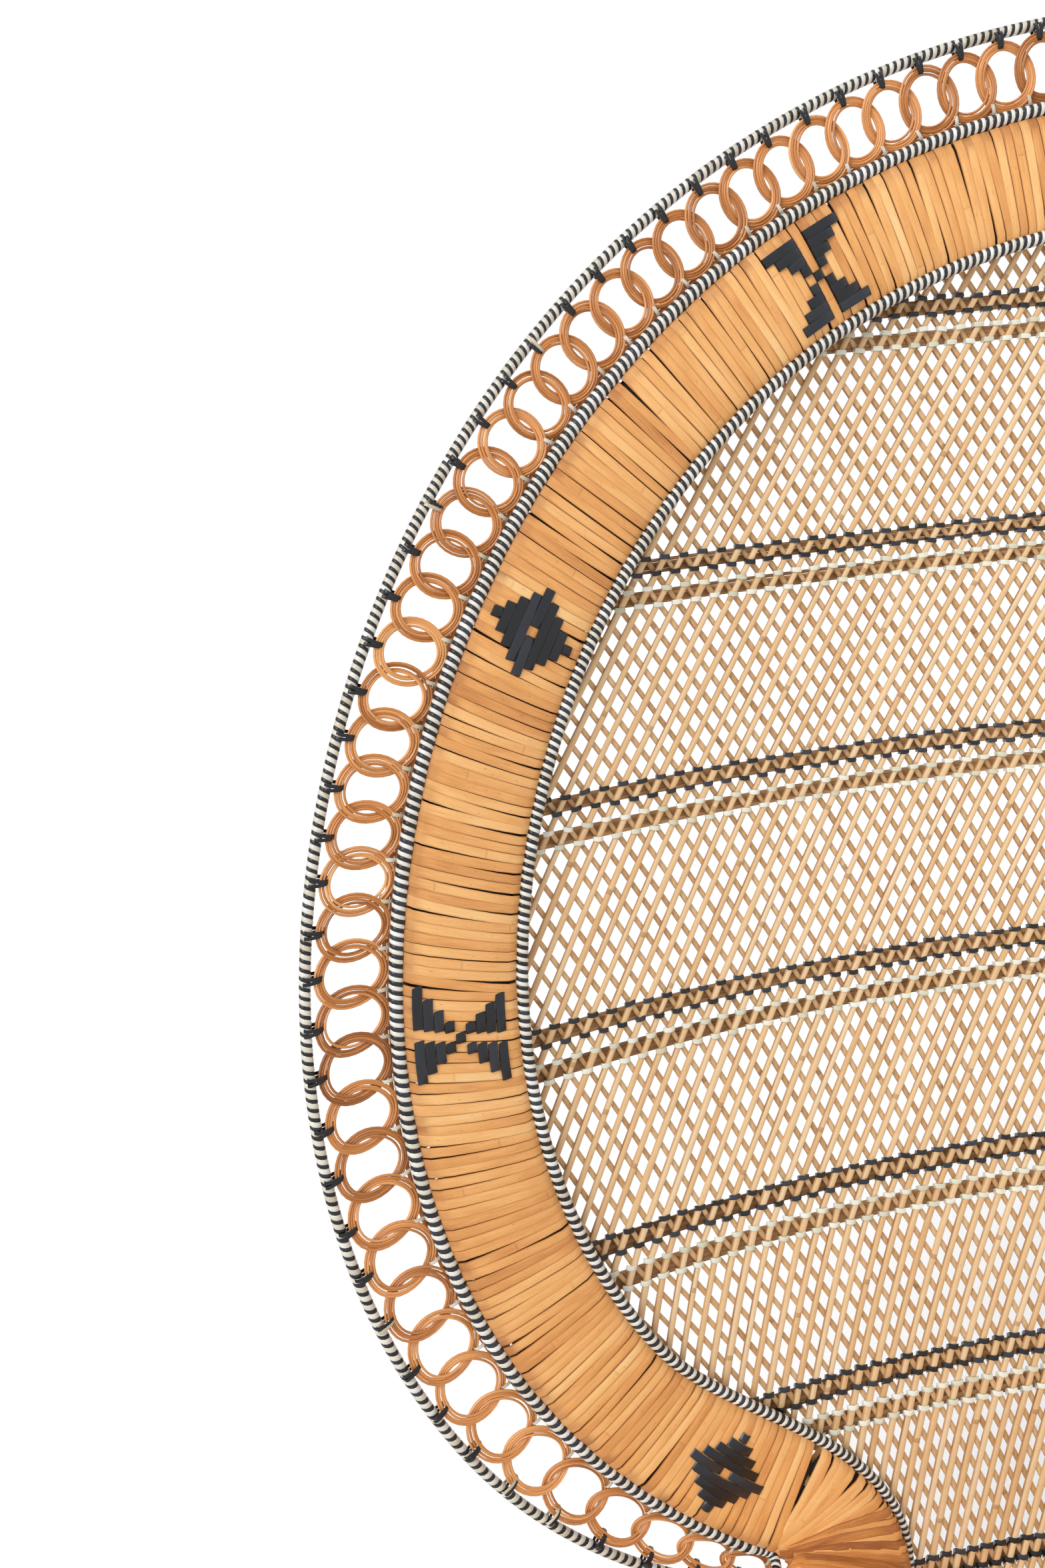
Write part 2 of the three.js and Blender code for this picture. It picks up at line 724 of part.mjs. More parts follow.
function wallPoint(share, offset) {
  const at = wall_curve.getPoint(share);
  const along = wall_curve.getTangent(share);
  return new THREE.Vector2(at.x + along.y * -offset, at.y + along.x * offset);
}

function wallOutline(offset) {
  const points = [];
  for (let i = 0; i < 2 * wall_steps; i += 1) {
    points.push(wallPoint(i / (2 * wall_steps), offset));
  }
  return points.reverse();
}

function wallHoop(outside, inside, low, high) {
  const shape = new THREE.Shape(wallOutline(outside));
  if (inside !== null) {
    shape.holes.push(new THREE.Path(wallOutline(inside)));
  }
  const geometry = new THREE.ExtrudeGeometry(shape, { depth: high - low, bevelEnabled: false });
  geometry.translate(0, 0, low);
  return bare(geometry);
}

const hoop_out = -(seat_hoop_inset - seat_hoop_size * half);
const hoop_in = -(seat_hoop_inset + seat_hoop_size * half);
const apron_half = apron_thickness * half;
const trim_half = trim_diameter * half;
const hoop_low = seat_height - seat_hoop_size;
const apron_low = seat_height - apron_height;

add('seat_hoop', wallHoop(hoop_out, hoop_in, hoop_low, seat_height), straw);
const weave_low = seat_height - seat_weave_thickness;
add('seat_weave', wallHoop(hoop_in - clearance, null, weave_low, seat_height), honey);
add('apron_band', wallHoop(apron_half, -apron_half, apron_low, seat_height), honey);
const top_trim_low = seat_height + clearance;
add('apron_top_rim', wallHoop(trim_half, -trim_half, top_trim_low, top_trim_low + trim_diameter), wrapped);
const low_trim_top = apron_low - clearance;
add('apron_bottom_rim', wallHoop(trim_half, -trim_half, low_trim_top - trim_diameter, low_trim_top), wrapped);

// Bars across the seat hoop under the weave
function hoopHalfWidth(y) {
  const outline = wallOutline(hoop_in).reverse().slice(0, wall_steps + 1);
  for (let i = 0; i < outline.length - 1; i += 1) {
    const [a, b] = [outline[i], outline[i + 1]];
    if (y <= a.y && y >= b.y) {
      return a.x + ((b.x - a.x) * (a.y - y)) / (a.y - b.y);
    }
  }
  return 0;
}

[['rear', 1], ['front', -1]].forEach(([name, sign]) => {
  const y = wall_centre_y + sign * seat_bar_spread_width * half;
  const edge = seat_bar_width * half;
  const reach = Math.min(hoopHalfWidth(y - edge), hoopHalfWidth(y + edge)) - clearance;
  const geometry = new THREE.BoxGeometry(2 * reach, seat_bar_width, seat_bar_height);
  geometry.translate(0, y, weave_low - clearance - seat_bar_height * half);
  add(`seat_bar_${name}`, bare(geometry), straw);
});

// Side lattices: straight sticks between the apron and the arm, two layers each side
const side_drop = (arm_thickness + side_rail_height) * half + side_top_gap;

function sideLayer(lean, offset) {
  const arm = armCurve();
  const foot = (share) => {
    const t = side_start_share + (side_end_share - side_start_share) * share;
    const at = wallPoint(t * half, offset);
    return new THREE.Vector3(at.x, at.y, apron_top + side_rail_height * half);
  };
  const head = (share) => {
    const t = side_arm_start_share + (side_arm_end_share - side_arm_start_share) * share;
    const tangent = arm.getTangent(t);
    const up = new THREE.Vector3().crossVectors(tangent, across_chair).normalize();
    const at = arm.getPoint(t).addScaledVector(up, -side_drop);
    const side = new THREE.Vector3().crossVectors(up, tangent);
    return at.addScaledVector(side, offset);
  };
  const rail = (place) => {
    const points = [];
    for (let i = 0; i <= side_stick_count; i += 1) {
      points.push(place(i / side_stick_count));
    }
    return points;
  };
  const level = new THREE.Vector3(0, 0, 1);
  const railSection = rectangle(stick_thickness, side_rail_height);
  const pieces = [foot, head].map((place) => {
    const points = rail(place);
    return bar(railSection, stationsOn(points, tangentsOf(points), points.map(() => level)));
  });
  for (let i = 0; i <= side_stick_count; i += 1) {
    const low = i - lean * side_stick_reach * half;
    const high = i + lean * side_stick_reach * half;
    if (low >= 0 && high >= 0 && low <= side_stick_count && high <= side_stick_count) {
      const shares = [low / side_stick_count, i / side_stick_count, high / side_stick_count];
      const points = shares.map((share, k) => foot(share).lerp(head(share), k * half));
      const outward = new THREE.Vector3(points[0].x, points[0].y - wall_centre_y, 0);
      const size = stick_thickness - 2 * lattice_edge_relief;
      const stations = stationsOn(points, tangentsOf(points), points.map(() => outward));
      pieces.push(bar(rectangle(stick_width, size), stations));
    }
  }
  return joined(pieces);
}

const side_offset = (stick_thickness + side_layer_gap) * half;

addPair('side_sticks_outer', sideLayer(1, side_offset), straw);
addPair('side_sticks_inner', sideLayer(-1, -side_offset), straw);

// Hourglass foot: hoops turned about the foot's axis
function hoop(profile, turn = 0) {
  const points = [...profile, profile[0]].map(([r, z]) => new THREE.Vector2(r, z));
  const geometry = new THREE.LatheGeometry(points, base_stick_count);
  geometry.rotateX(Math.PI * half);
  geometry.rotateZ(turn);
  geometry.translate(0, foot_centre_y, 0);
  return bare(geometry);
}

function squareHoop(radius, width, low, high, turn = 0) {
  const [inner, outer] = [radius - width * half, radius + width * half];
  return hoop([[inner, low], [outer, low], [outer, high], [inner, high]], turn);
}

const base_top = hoop_low - clearance;
const sticks_low = foot_ring_height + clearance;
const sticks_high = base_top - base_top_hoop_height - clearance;
const waist_height = (sticks_low + sticks_high) * half;
const twist = (base_twist_steps / base_stick_count) * Math.PI;
const waist_radius = base_stick_radius * Math.cos(twist);
const stick_run = base_stick_radius * Math.sin(twist);
const half_rise = (sticks_high - sticks_low) * half;

function hourglassRadius(z) {
  return Math.hypot(waist_radius, (stick_run * (z - waist_height)) / half_rise);
}

add('foot_ring', squareHoop(foot_ring_radius, foot_ring_width, 0, foot_ring_height), straw);
const base_top_low = base_top - base_top_hoop_height;
add('base_top_hoop', squareHoop(foot_ring_radius, foot_ring_width, base_top_low, base_top), straw);

function baseLayer(lean, offset) {
  const radius = base_stick_radius + offset;
  const place = (i, z) => {
    const a = (i / base_stick_count) * full_turn;
    return new THREE.Vector3(radius * Math.sin(a), foot_centre_y - radius * Math.cos(a), z);
  };
  const pieces = [
    squareHoop(radius, base_rail_width, sticks_low, sticks_low + base_rail_height),
    squareHoop(radius, base_rail_width, sticks_high - base_rail_height, sticks_high),
  ];
  const inset = base_rail_height * half * half;
  for (let i = 0; i < base_stick_count; i += 1) {
    const head = place(i + lean * base_twist_steps, sticks_high - inset);
    const points = [place(i, sticks_low + inset), head];
    const middle = points[0].clone().add(points[1]).multiplyScalar(half);
    const outward = new THREE.Vector3(middle.x, middle.y - foot_centre_y, 0);
    const section = rectangle(base_stick_size, base_stick_size);
    pieces.push(bar(section, stationsOn(points, tangentsOf(points), [outward, outward])));
  }
  return joined(pieces);
}

const base_offset = (base_stick_size * Math.SQRT2 + base_layer_gap) * half;
add('base_sticks_outer', baseLayer(1, base_offset), straw);
add('base_sticks_inner', baseLayer(-1, -base_offset), straw);

const pole_back = base_offset + base_stick_size + base_layer_gap + base_pole_diameter * half;

for (let i = 0; i < base_pole_count; i += 1) {
  const a = ((i + half) / base_pole_count) * full_turn;
  const outward = new THREE.Vector3(Math.sin(a), -Math.cos(a), 0);
  const side = new THREE.Vector3(Math.cos(a), Math.sin(a), 0);
  const stations = [];
  for (let k = 0; k <= base_pole_steps; k += 1) {
    const z = sticks_low + ((sticks_high - sticks_low) * k) / base_pole_steps;
    const at = outward.clone().multiplyScalar(hourglassRadius(z) - pole_back);
    stations.push({ at: at.add(new THREE.Vector3(0, foot_centre_y, z)), side, up: outward });
  }
  add(`base_pole_${i + 1}`, bar(round(rim_sides, base_pole_diameter), stations), straw);
}

// Outermost radius of the outer sticks at a height
function outerReach(z) {
  const radius = base_stick_radius + base_offset;
  const near = radius * Math.cos(twist);
  const slope = (radius * Math.sin(twist)) / half_rise;
  const along = slope * Math.abs(z - waist_height);
  const turn = Math.atan2(along, near);
  const spread = Math.cos(turn) + Math.sin(turn) * Math.hypot(1, slope);
  return Math.hypot(near, along) + base_stick_size * half * spread;
}

// Wrapped hoop round the waist and the sloping band above the floor, with their trims
const half_step = Math.PI / base_stick_count;
const round_out = 1 / Math.cos(half_step);
const waist_low = waist_height - waist_hoop_height * half;
const waist_high = waist_height + waist_hoop_height * half;
const waist_end = (outerReach(waist_high) + clearance) * round_out;
const waist_narrow = outerReach(waist_height) + 2 * clearance;
add('waist_hoop', hoop([
  [waist_end, waist_low], [waist_end + waist_hoop_thickness, waist_low],
  [waist_narrow + waist_hoop_thickness, waist_height], [waist_end + waist_hoop_thickness, waist_high],
  [waist_end, waist_high], [waist_narrow, waist_height],
], half_step), honey);

const waist_trims = [
  ['bottom', waist_low - clearance - trim_diameter, 0],
  ['top', waist_high + clearance, 1],
];

for (const [name, low, far] of waist_trims) {
  const middle = (outerReach(low + far * trim_diameter) + clearance) * round_out + trim_half;
  add(`waist_${name}_rim`, squareHoop(middle, trim_diameter, low, low + trim_diameter, half_step), wrapped);
}

const foot_band_top = foot_band_lift + foot_band_height;
const foot_outer = foot_ring_radius + foot_ring_width * half + clearance;
const foot_band_high_radius = (outerReach(foot_band_top) + clearance) * round_out;
const foot_slope = (foot_outer - foot_band_high_radius) / (foot_band_top - foot_ring_height);
const foot_band_low_radius = foot_outer + foot_slope * (foot_ring_height - foot_band_lift);
add('foot_band', hoop([
  [foot_band_low_radius, foot_band_lift], [foot_band_low_radius + foot_band_thickness, foot_band_lift],
  [foot_band_high_radius + foot_band_thickness, foot_band_top], [foot_band_high_radius, foot_band_top],
]), honey);
const foot_trim_top = foot_band_lift - clearance;
const foot_trims = [
  ['bottom', foot_band_low_radius, foot_trim_top - trim_diameter],
  ['top', foot_band_high_radius, foot_band_top + clearance],
];

for (const [name, radius, low] of foot_trims) {
  const middle = radius + foot_band_thickness * half;
  add(`foot_${name}_rim`, squareHoop(middle, trim_diameter, low, low + trim_diameter), wrapped);
}

const bounds = new THREE.Box3().setFromObject(chair);
chair.position.y = -(bounds.min.y + bounds.max.y) * half;

export default chair;
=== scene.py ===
# %% [markdown]
# # A peacock chair in cane
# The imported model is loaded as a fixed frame, in metres, +Z up, with the sitter facing -Y.
# The solids give every place and size. This script lays the real canes, strips and ties over
# them, and each new piece says which solids it stands for.

# %% Load the frame
import functools
import math
import bpy
import numpy as np
from mathutils import Matrix


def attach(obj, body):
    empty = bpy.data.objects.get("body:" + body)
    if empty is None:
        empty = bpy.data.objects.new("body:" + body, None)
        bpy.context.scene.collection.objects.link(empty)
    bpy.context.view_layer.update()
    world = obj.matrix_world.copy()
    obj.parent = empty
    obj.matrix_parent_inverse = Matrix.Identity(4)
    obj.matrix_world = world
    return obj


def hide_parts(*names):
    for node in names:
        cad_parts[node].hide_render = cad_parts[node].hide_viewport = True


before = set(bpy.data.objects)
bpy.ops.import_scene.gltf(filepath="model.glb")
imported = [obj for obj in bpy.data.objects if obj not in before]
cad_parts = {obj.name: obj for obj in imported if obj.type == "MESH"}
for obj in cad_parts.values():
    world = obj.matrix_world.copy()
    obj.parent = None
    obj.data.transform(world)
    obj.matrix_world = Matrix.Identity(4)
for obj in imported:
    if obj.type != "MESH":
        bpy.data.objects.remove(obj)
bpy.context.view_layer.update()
scene = bpy.context.scene
chance = np.random.default_rng(7)
mm, full_turn = 0.001, 2 * math.pi

# %% [markdown]
# ## Paths and their directions
# Nearly all of the chair is cane: long sections that follow a path, hundreds of times over.
# A path is an array of points. These helpers measure it, space its points evenly, and find
# the directions along it, across it and out of the surface that it lies on.

# %% Measure a path
def unit(v):
    return v / np.maximum(np.linalg.norm(v, axis=-1, keepdims=True), 1e-12)


def run_of(points):
    """How far along the path each of its points lies."""
    steps = np.linalg.norm(np.diff(points, axis=-2), axis=-1)
    return np.concatenate([np.zeros_like(steps[..., :1]), np.cumsum(steps, axis=-1)], axis=-1)


def read_at(values, places, wanted):
    """Rows that are known at some places, read at the wanted ones."""
    return np.stack([np.interp(wanted, places, column) for column in values.T], -1)


def spaced(points, count):
    """The same path with evenly spaced points."""
    run = run_of(points)
    return read_at(points, run, np.linspace(0, run[-1], count))


def looped(points):
    """A closed path ends on its first point."""
    return np.vstack([points, points[:1]])


# %% Directions along a path
def tangents(points, closed=False):
    """Unit directions along a path, or along each of many."""
    if not closed:
        return unit(np.gradient(points, axis=-2))
    around = points[..., :-1, :]
    along = unit(np.roll(around, -1, axis=-2) - np.roll(around, 1, axis=-2))
    return np.concatenate([along, along[..., :1, :]], axis=-2)


def frames(points, facing, closed=False):
    """Across and facing directions along a path, at right angles to it."""
    along = tangents(points, closed)
    across = unit(np.cross(along, np.broadcast_to(facing, points.shape)))
    return across, np.cross(across, along)


def square_to(along, direction):
    """A direction turned square to the path, and the one that is square to both."""
    side = unit(direction - along * (direction * along).sum(-1, keepdims=True))
    return side, np.cross(along, side)


# %% [markdown]
# ## Canes laid along paths
# By hand one would model a straight length, then bend copies of it with a Curve modifier.
# The same is done here: a straight master is modelled once with edit-mode operators, and
# lay() bends copies of its mesh along many paths at once, which keeps hundreds of strips quick.

# %% A straight master, extruded step by step
def select_only(*pieces):
    """Only these pieces are selected, and the first of them is active."""
    bpy.ops.object.select_all(action="DESELECT")
    for piece in pieces:
        piece.select_set(True)
    if pieces:
        bpy.context.view_layer.objects.active = pieces[0]


def vertices_of(mesh):
    places = np.zeros(len(mesh.vertices) * 3)
    mesh.vertices.foreach_get("co", places)
    return places.reshape(-1, 3)


@functools.cache
def master(section, steps, ends=True, sides=8):
    """Vertices, faces and steps of a straight cane, one unit across and one unit long.
    It is "round", from a circle, or "flat", from a plane with cut corners."""
    select_only()
    if section == "round":
        bpy.ops.mesh.primitive_circle_add(vertices=sides, radius=0.5, fill_type="NGON" if ends else "NOTHING")
    else:
        bpy.ops.mesh.primitive_plane_add(size=1)
    piece = bpy.context.object
    bpy.ops.object.mode_set(mode="EDIT")
    bpy.ops.mesh.select_all(action="SELECT")
    if section == "flat":
        bpy.ops.mesh.bevel(affect="VERTICES", offset=0.2, segments=1)
        bpy.ops.mesh.select_all(action="SELECT")
        if not ends:
            bpy.ops.mesh.delete(type="ONLY_FACE")
            bpy.ops.mesh.select_all(action="SELECT")
    for _ in range(steps):
        bpy.ops.mesh.extrude_region_move(TRANSFORM_OT_translate={"value": (0, 0, 1 / steps)})
    bpy.ops.mesh.select_all(action="SELECT")
    bpy.ops.mesh.normals_make_consistent(inside=False)
    bpy.ops.object.mode_set(mode="OBJECT")
    mesh = piece.data
    points, faces = vertices_of(mesh), [tuple(face.vertices) for face in mesh.polygons]
    bpy.data.objects.remove(piece)
    bpy.data.meshes.remove(mesh)
    return points, faces, steps


# %% Lay copies of a master along paths
grain_shift, edge_share = 0.37, 0.4


def set_all(items, key, values):
    """Give each item of a mesh its value, all in one call."""
    values = np.asarray(values)
    items.foreach_set(key, values.astype(np.float32 if values.dtype.kind == "f" else np.int32).ravel())


class Bundle:
    """The canes of one piece. tone colours each cane, grain runs along it, look picks its material."""

    def __init__(self):
        self.points, self.corners, self.sizes, self.count = [], [], [], 0
        self.tone, self.edge, self.grain, self.look = [], [], [], []

    def lay(self, shape, at, side, up, tone=0.5, look=0, station_shade=0.0):
        """at, side and up are (canes, stations, 3); side and up carry the section's width and
        thickness. The last argument paints shade on the stations, as where a rim shades the edge of a strip."""
        base, faces, steps = shape
        at, side, up = (a if a.ndim == 3 else a[None] for a in (at, side, up))
        canes = len(at)
        number = np.arange(canes)[:, None]
        turned = (np.cross(side, up) * np.gradient(at, axis=1)).sum(axis=(1, 2)) < 0
        side = np.where(turned[:, None, None], -side, side)
        station = np.rint(base[:, 2] * steps).astype(int)
        placed = at[:, station] + side[:, station] * base[:, 0, None] + up[:, station] * base[:, 1, None]
        corners, sizes = np.concatenate(faces), np.array([len(face) for face in faces])
        self.points.append(placed.reshape(-1, 3))
        self.corners.append((self.count + number * len(base) + corners).ravel())
        self.sizes.append(np.tile(sizes, canes))
        self.look.append(np.full(canes * len(faces), look))
        self.count += canes * len(base)

        # The grain map: metres along the cane and round it, shifted from one cane to the next.
        girth = np.linalg.norm(side, axis=-1).mean(axis=1) + np.linalg.norm(up, axis=-1).mean(axis=1)
        around = np.arctan2(base[:, 0], base[:, 1])[corners]
        starts = np.cumsum(sizes) - sizes
        low, high = (np.repeat(end.reduceat(around, starts), sizes) for end in (np.minimum, np.maximum))
        around = np.where((high - low > math.pi) & (around < 0), around + full_turn, around)
        along = run_of(at)[:, station][:, corners] + number * grain_shift
        self.grain.append(np.stack([along, around * girth[:, None] / math.pi], -1).reshape(-1, 2))

        # Sections with eight corners are darker at their two edges: partly the darker skin at a strip's edge,
        # partly painted shade for the shadow lines between strips and the sides of round sticks.
        dark = (np.abs(base[:, 0]) > edge_share) * float(len(base) == 8 * (steps + 1))
        # Painted shade: stations next to a rim join the edge darkening.
        self.edge.append(np.tile(np.maximum(dark, np.broadcast_to(station_shade, (steps + 1,))[station]), canes))
        self.tone.append(np.repeat(np.broadcast_to(tone, (canes,)), len(base)))

    def cane(self, path, facing, wide, high, tone=0.5, section="round", sides=8):
        """Closed canes along one path or many, wide across them and high in their facing direction."""
        side, up = frames(path, facing)
        shape = master(section, path.shape[-2] - 1, sides=sides)
        self.lay(shape, path, side * wide, up * high, tone)

    def piece(self, name, looks, nodes=(), slot=None):
        """The finished object, riding on the chair and standing for its solids."""
        mesh = bpy.data.meshes.new(name)
        corners, sizes = np.concatenate(self.corners), np.concatenate(self.sizes)
        mesh.vertices.add(self.count)
        mesh.loops.add(len(corners))
        mesh.polygons.add(len(sizes))
        for look in looks:
            mesh.materials.append(look)
        set_all(mesh.vertices, "co", np.concatenate(self.points))
        set_all(mesh.loops, "vertex_index", corners)
        set_all(mesh.polygons, "loop_start", np.cumsum(sizes) - sizes)
        set_all(mesh.polygons, "loop_total", sizes)
        set_all(mesh.polygons, "material_index", np.concatenate(self.look))
        mesh.update(calc_edges=True)
        set_all(mesh.uv_layers.new(name="grain").data, "uv", np.concatenate(self.grain))
        for kind, values in (("tone", self.tone), ("edge", self.edge)):
            set_all(mesh.attributes.new(kind, "FLOAT", "POINT").data, "value", np.concatenate(values))
        made = bpy.data.objects.new(name, mesh)
        scene.collection.objects.link(made)
        finish_piece(made, nodes)


# %% Finish a piece
def finish_piece(made, nodes=()):
    """Smooth it, let it ride on the chair and hide the solids that it stands for."""
    select_only(made)
    bpy.ops.object.shade_smooth_by_angle(angle=math.radians(50))
    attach(made, "root")
    if nodes:
        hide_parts(*nodes)
    triangles = sum(len(face.vertices) - 2 for face in made.data.polygons)
    print(f"{made.name}: {triangles} triangles")


def both_sides(name):
    return [f"{name}_left", f"{name}_right"]


# %% [markdown]
# ## Materials
# Cane shows fine fibres along its length, a satin skin and a different colour on every strip.
# Each look reads three things from the mesh: the "tone" of the strip, its "edge", where flat
# cane is darker at its skin and where shade is painted between strips and next to the rims,
# and the "grain" UV map, whose U runs along the strip in metres and V around it, so the
# fibres follow every bend.

# %% Add and wire nodes
class Tree:
    """The node tree of a material or of the world. An input takes a value or another node's output."""

    def __init__(self, owner):
        owner.use_nodes = True
        self.nodes, self.links = owner.node_tree.nodes, owner.node_tree.links

    def put(self, node, inputs):
        for key, value in inputs.items():
            if isinstance(value, bpy.types.NodeSocket):
                self.links.new(value, node.inputs[key])
            else:
                node.inputs[key].default_value = value

    def add(self, kind, inputs=(), **settings):
        node = self.nodes.new(f"ShaderNode{kind}")
        for key, value in settings.items():
            setattr(node, key, value)
        self.put(node, dict(inputs))
        return node

    def maths(self, operation, *values, clamp=False):
        return self.add("Math", enumerate(values), operation=operation, use_clamp=clamp).outputs[0]

    def ramp(self, level, shades):
        """Colours by level, from a list of (place, colour)."""
        node = self.add("ValToRGB", {"Fac": level})
        stops = node.color_ramp.elements
        stops.remove(stops[1])
        stops[0].position = shades[0][0]
        stops[0].color = (*shades[0][1], 1)
        for place, colour in shades[1:]:
            stops.new(place).color = (*colour, 1)
        return node.outputs["Color"]


# %% A material maker for cane
joint_spacing, fibre_depth = 0.29, 0.0003
# Brown multiplied into the colour: real joint rings and specks, and painted shade along edges and by the rims.
stain_and_shade = (0.45, 0.30, 0.20, 1)


def cane_look(name, shades, fibre=0.35, rough=0.42, coat=0.15, bump=0.25, shine=0.45,
              joints=0.0, joint_line=0.0035, speck=0.0):
    """shades is a list of (place, colour) from dark to pale; joints adds the darker rings of a stick."""
    look = bpy.data.materials.new(name)
    tree = Tree(look)
    maths = tree.maths
    grain = tree.add("UVMap", uv_map="grain").outputs["UV"]
    tone, edge = (tree.add("Attribute", attribute_name=kind).outputs["Fac"] for kind in ("tone", "edge"))

    def noise(along, around, detail):
        """Noise with so many waves per metre along the cane and round it."""
        stretched = tree.add("Mapping", {"Vector": grain, "Scale": (along, around, 1)}).outputs["Vector"]
        inputs = {"Vector": stretched, "Scale": 1, "Detail": detail, "Roughness": 0.6}
        return tree.add("TexNoise", inputs, noise_dimensions="2D").outputs["Fac"]

    fibres, patches = noise(55, 2600, 3), noise(16, 90, 2)
    level = maths("ADD", tone, maths("MULTIPLY", maths("SUBTRACT", fibres, 0.5), fibre))
    level = maths("ADD", level, maths("MULTIPLY", maths("SUBTRACT", patches, 0.5), 0.55))
    uneven = maths("SUBTRACT", maths("MULTIPLY", patches, 2.4), 0.7, clamp=True)
    # The edge darkening is partly the darker skin of flat cane and partly painted shade: shadow lines between
    # strips, the sides of round sticks and the rims' shadow on the band.
    dark = maths("MULTIPLY", maths("POWER", edge, 2.5), uneven)
    if joints:
        length = tree.add("SeparateXYZ", {0: grain}).outputs["X"]
        turn = maths("SUBTRACT", maths("FRACT", maths("MULTIPLY", length, 1 / joint_spacing)), 0.5)
        level = maths("ADD", level, maths("MULTIPLY", turn, 0.2 * joints))
        ring = maths("GREATER_THAN", maths("ABSOLUTE", turn), 0.5 - joint_line / joint_spacing / 2)
        dark = maths("MAXIMUM", dark, maths("MULTIPLY", ring, joints))
    if speck:
        spot = maths("MULTIPLY", maths("SUBTRACT", noise(260, 900, 1), 0.70), 9, clamp=True)
        dark = maths("MAXIMUM", dark, maths("MULTIPLY", spot, speck))
    colour = tree.add("Mix", {"Factor": dark, "A": tree.ramp(level, shades), "B": stain_and_shade},
                      data_type="RGBA", blend_type="MULTIPLY").outputs["Result"]
    sheen = maths("ADD", maths("MULTIPLY", patches, 0.16), rough - 0.08)
    relief = tree.add("Bump", {"Strength": bump, "Distance": fibre_depth, "Height": fibres})
    tree.put(tree.nodes["Principled BSDF"], {
        "Base Color": colour, "Roughness": maths("ADD", sheen, maths("MULTIPLY", fibres, 0.12)),
        "Normal": relief.outputs["Normal"], "Specular IOR Level": shine,
        "Coat Weight": coat, "Coat Roughness": 0.25,
    })
    return look


# %% The chair's looks
honey = cane_look("honey_cane", [
    (0.00, (0.332, 0.111, 0.0290)), (0.25, (0.617, 0.248, 0.066)), (0.50, (0.812, 0.388, 0.118)),
    (0.75, (0.930, 0.524, 0.197)), (1.00, (0.930, 0.646, 0.310)),
], fibre=0.5, joints=0.25, joint_line=0.0012, speck=0.35)
straw = cane_look("straw_cane", [
    (0.00, (0.318, 0.153, 0.057)), (0.25, (0.551, 0.305, 0.127)), (0.50, (0.700, 0.436, 0.207)),
    (0.75, (0.784, 0.545, 0.299)), (1.00, (0.827, 0.632, 0.402)),
], rough=0.5, coat=0.05, joints=0.55, speck=0.3)
brown = cane_look("brown_cane", [
    (0.00, (0.183, 0.058, 0.0170)), (0.35, (0.415, 0.150, 0.0398)), (0.65, (0.659, 0.280, 0.085)),
    (1.00, (0.830, 0.429, 0.163)),
], rough=0.45, coat=0.05)
dark_cane = cane_look("dark_cane", [
    (0.00, (0.135, 0.064, 0.0238)), (0.45, (0.360, 0.184, 0.071)), (1.00, (0.630, 0.368, 0.170)),
], rough=0.5)
# Painted highlight: the pale, bluish end of the black's shades gives lighter streaks that stand for the gloss on
# the strips, over their random tone.
black = cane_look("black_strip", [
    (0.00, (0.0040, 0.0045, 0.0062)), (0.50, (0.0088, 0.0104, 0.0155)), (1.00, (0.030, 0.036, 0.050)),
], fibre=0.25, rough=0.26, coat=0.3, bump=0.06, shine=0.28)
cream = cane_look("cream_strip", [
    (0.00, (0.537, 0.467, 0.339)), (0.50, (0.732, 0.695, 0.603)), (1.00, (0.854, 0.846, 0.825)),
], fibre=0.2, rough=0.28, coat=0.25, bump=0.08)
pale_tie = cane_look("pale_tie", [
    (0.00, (0.572, 0.550, 0.402)), (0.50, (0.726, 0.726, 0.598)), (1.00, (0.836, 0.847, 0.759)),
], fibre=0.15, rough=0.25, coat=0.25, bump=0.05)
# Painted shade: a near-black body under the strips, where the band's inside lies in shade.
core = cane_look("inner_core", [(0.00, (0.010, 0.006, 0.003)), (1.00, (0.045, 0.024, 0.012))], rough=0.8, coat=0)
print("looks:", len(bpy.data.materials))

# %% [markdown]
# ## The fan's shell
# The fan is drawn flat, as circles about one centre, and laid on a shell that leans back
# and curls forward at its sides. fan_at() puts any flat place (x, level) on that shell, and
# ahead moves it towards the sitter. All the numbers repeat the solids' own values.

# %% Places on the fan
fan_centre, fan_lean, fan_shift = 1.008, 0.1717, 0.2686766
curl_depth, curl_half_width = 0.1515, 0.550
outer_radius, mid_radius, inner_radius = 549 * mm, 500 * mm, 428 * mm
step_angle = 0.1784
band_end, rim_end = 14 * step_angle, 14.4 * step_angle
pinch_start, pinch = 2.06, 22 * mm


def fan_at(x, level, ahead=0.0):
    x, level, ahead = np.broadcast_arrays(np.asarray(x, float), level, ahead)
    y = fan_lean * level - curl_depth * (x / curl_half_width) ** 2 - ahead + fan_shift
    return np.stack([x, y, fan_centre + level], -1)


def fan_facing(x):
    """The direction out of the shell, towards the sitter."""
    x = np.asarray(x, float)
    curl = -2 * curl_depth * x / curl_half_width ** 2
    return unit(np.stack([curl, -np.ones_like(x), np.full_like(x, fan_lean)], -1))


def circle_at(angle, radius, ahead=0.0):
    return fan_at(radius * np.sin(angle), radius * np.cos(angle), ahead)


def outer_radius_at(angle):
    """The outer rim draws in towards the arms."""
    share = np.maximum(0, (np.abs(angle) - pinch_start) / (rim_end - pinch_start))
    return outer_radius - pinch * share ** 2


# %% [markdown]
# ## Camera and studio
# The camera stands where the photograph was taken: close to the fan, left of its middle, and
# looking a little down. Pinhole numbers came from fitting the fan's circles. A large soft sun
# from the upper left and an even white world light the cane at a plain level.

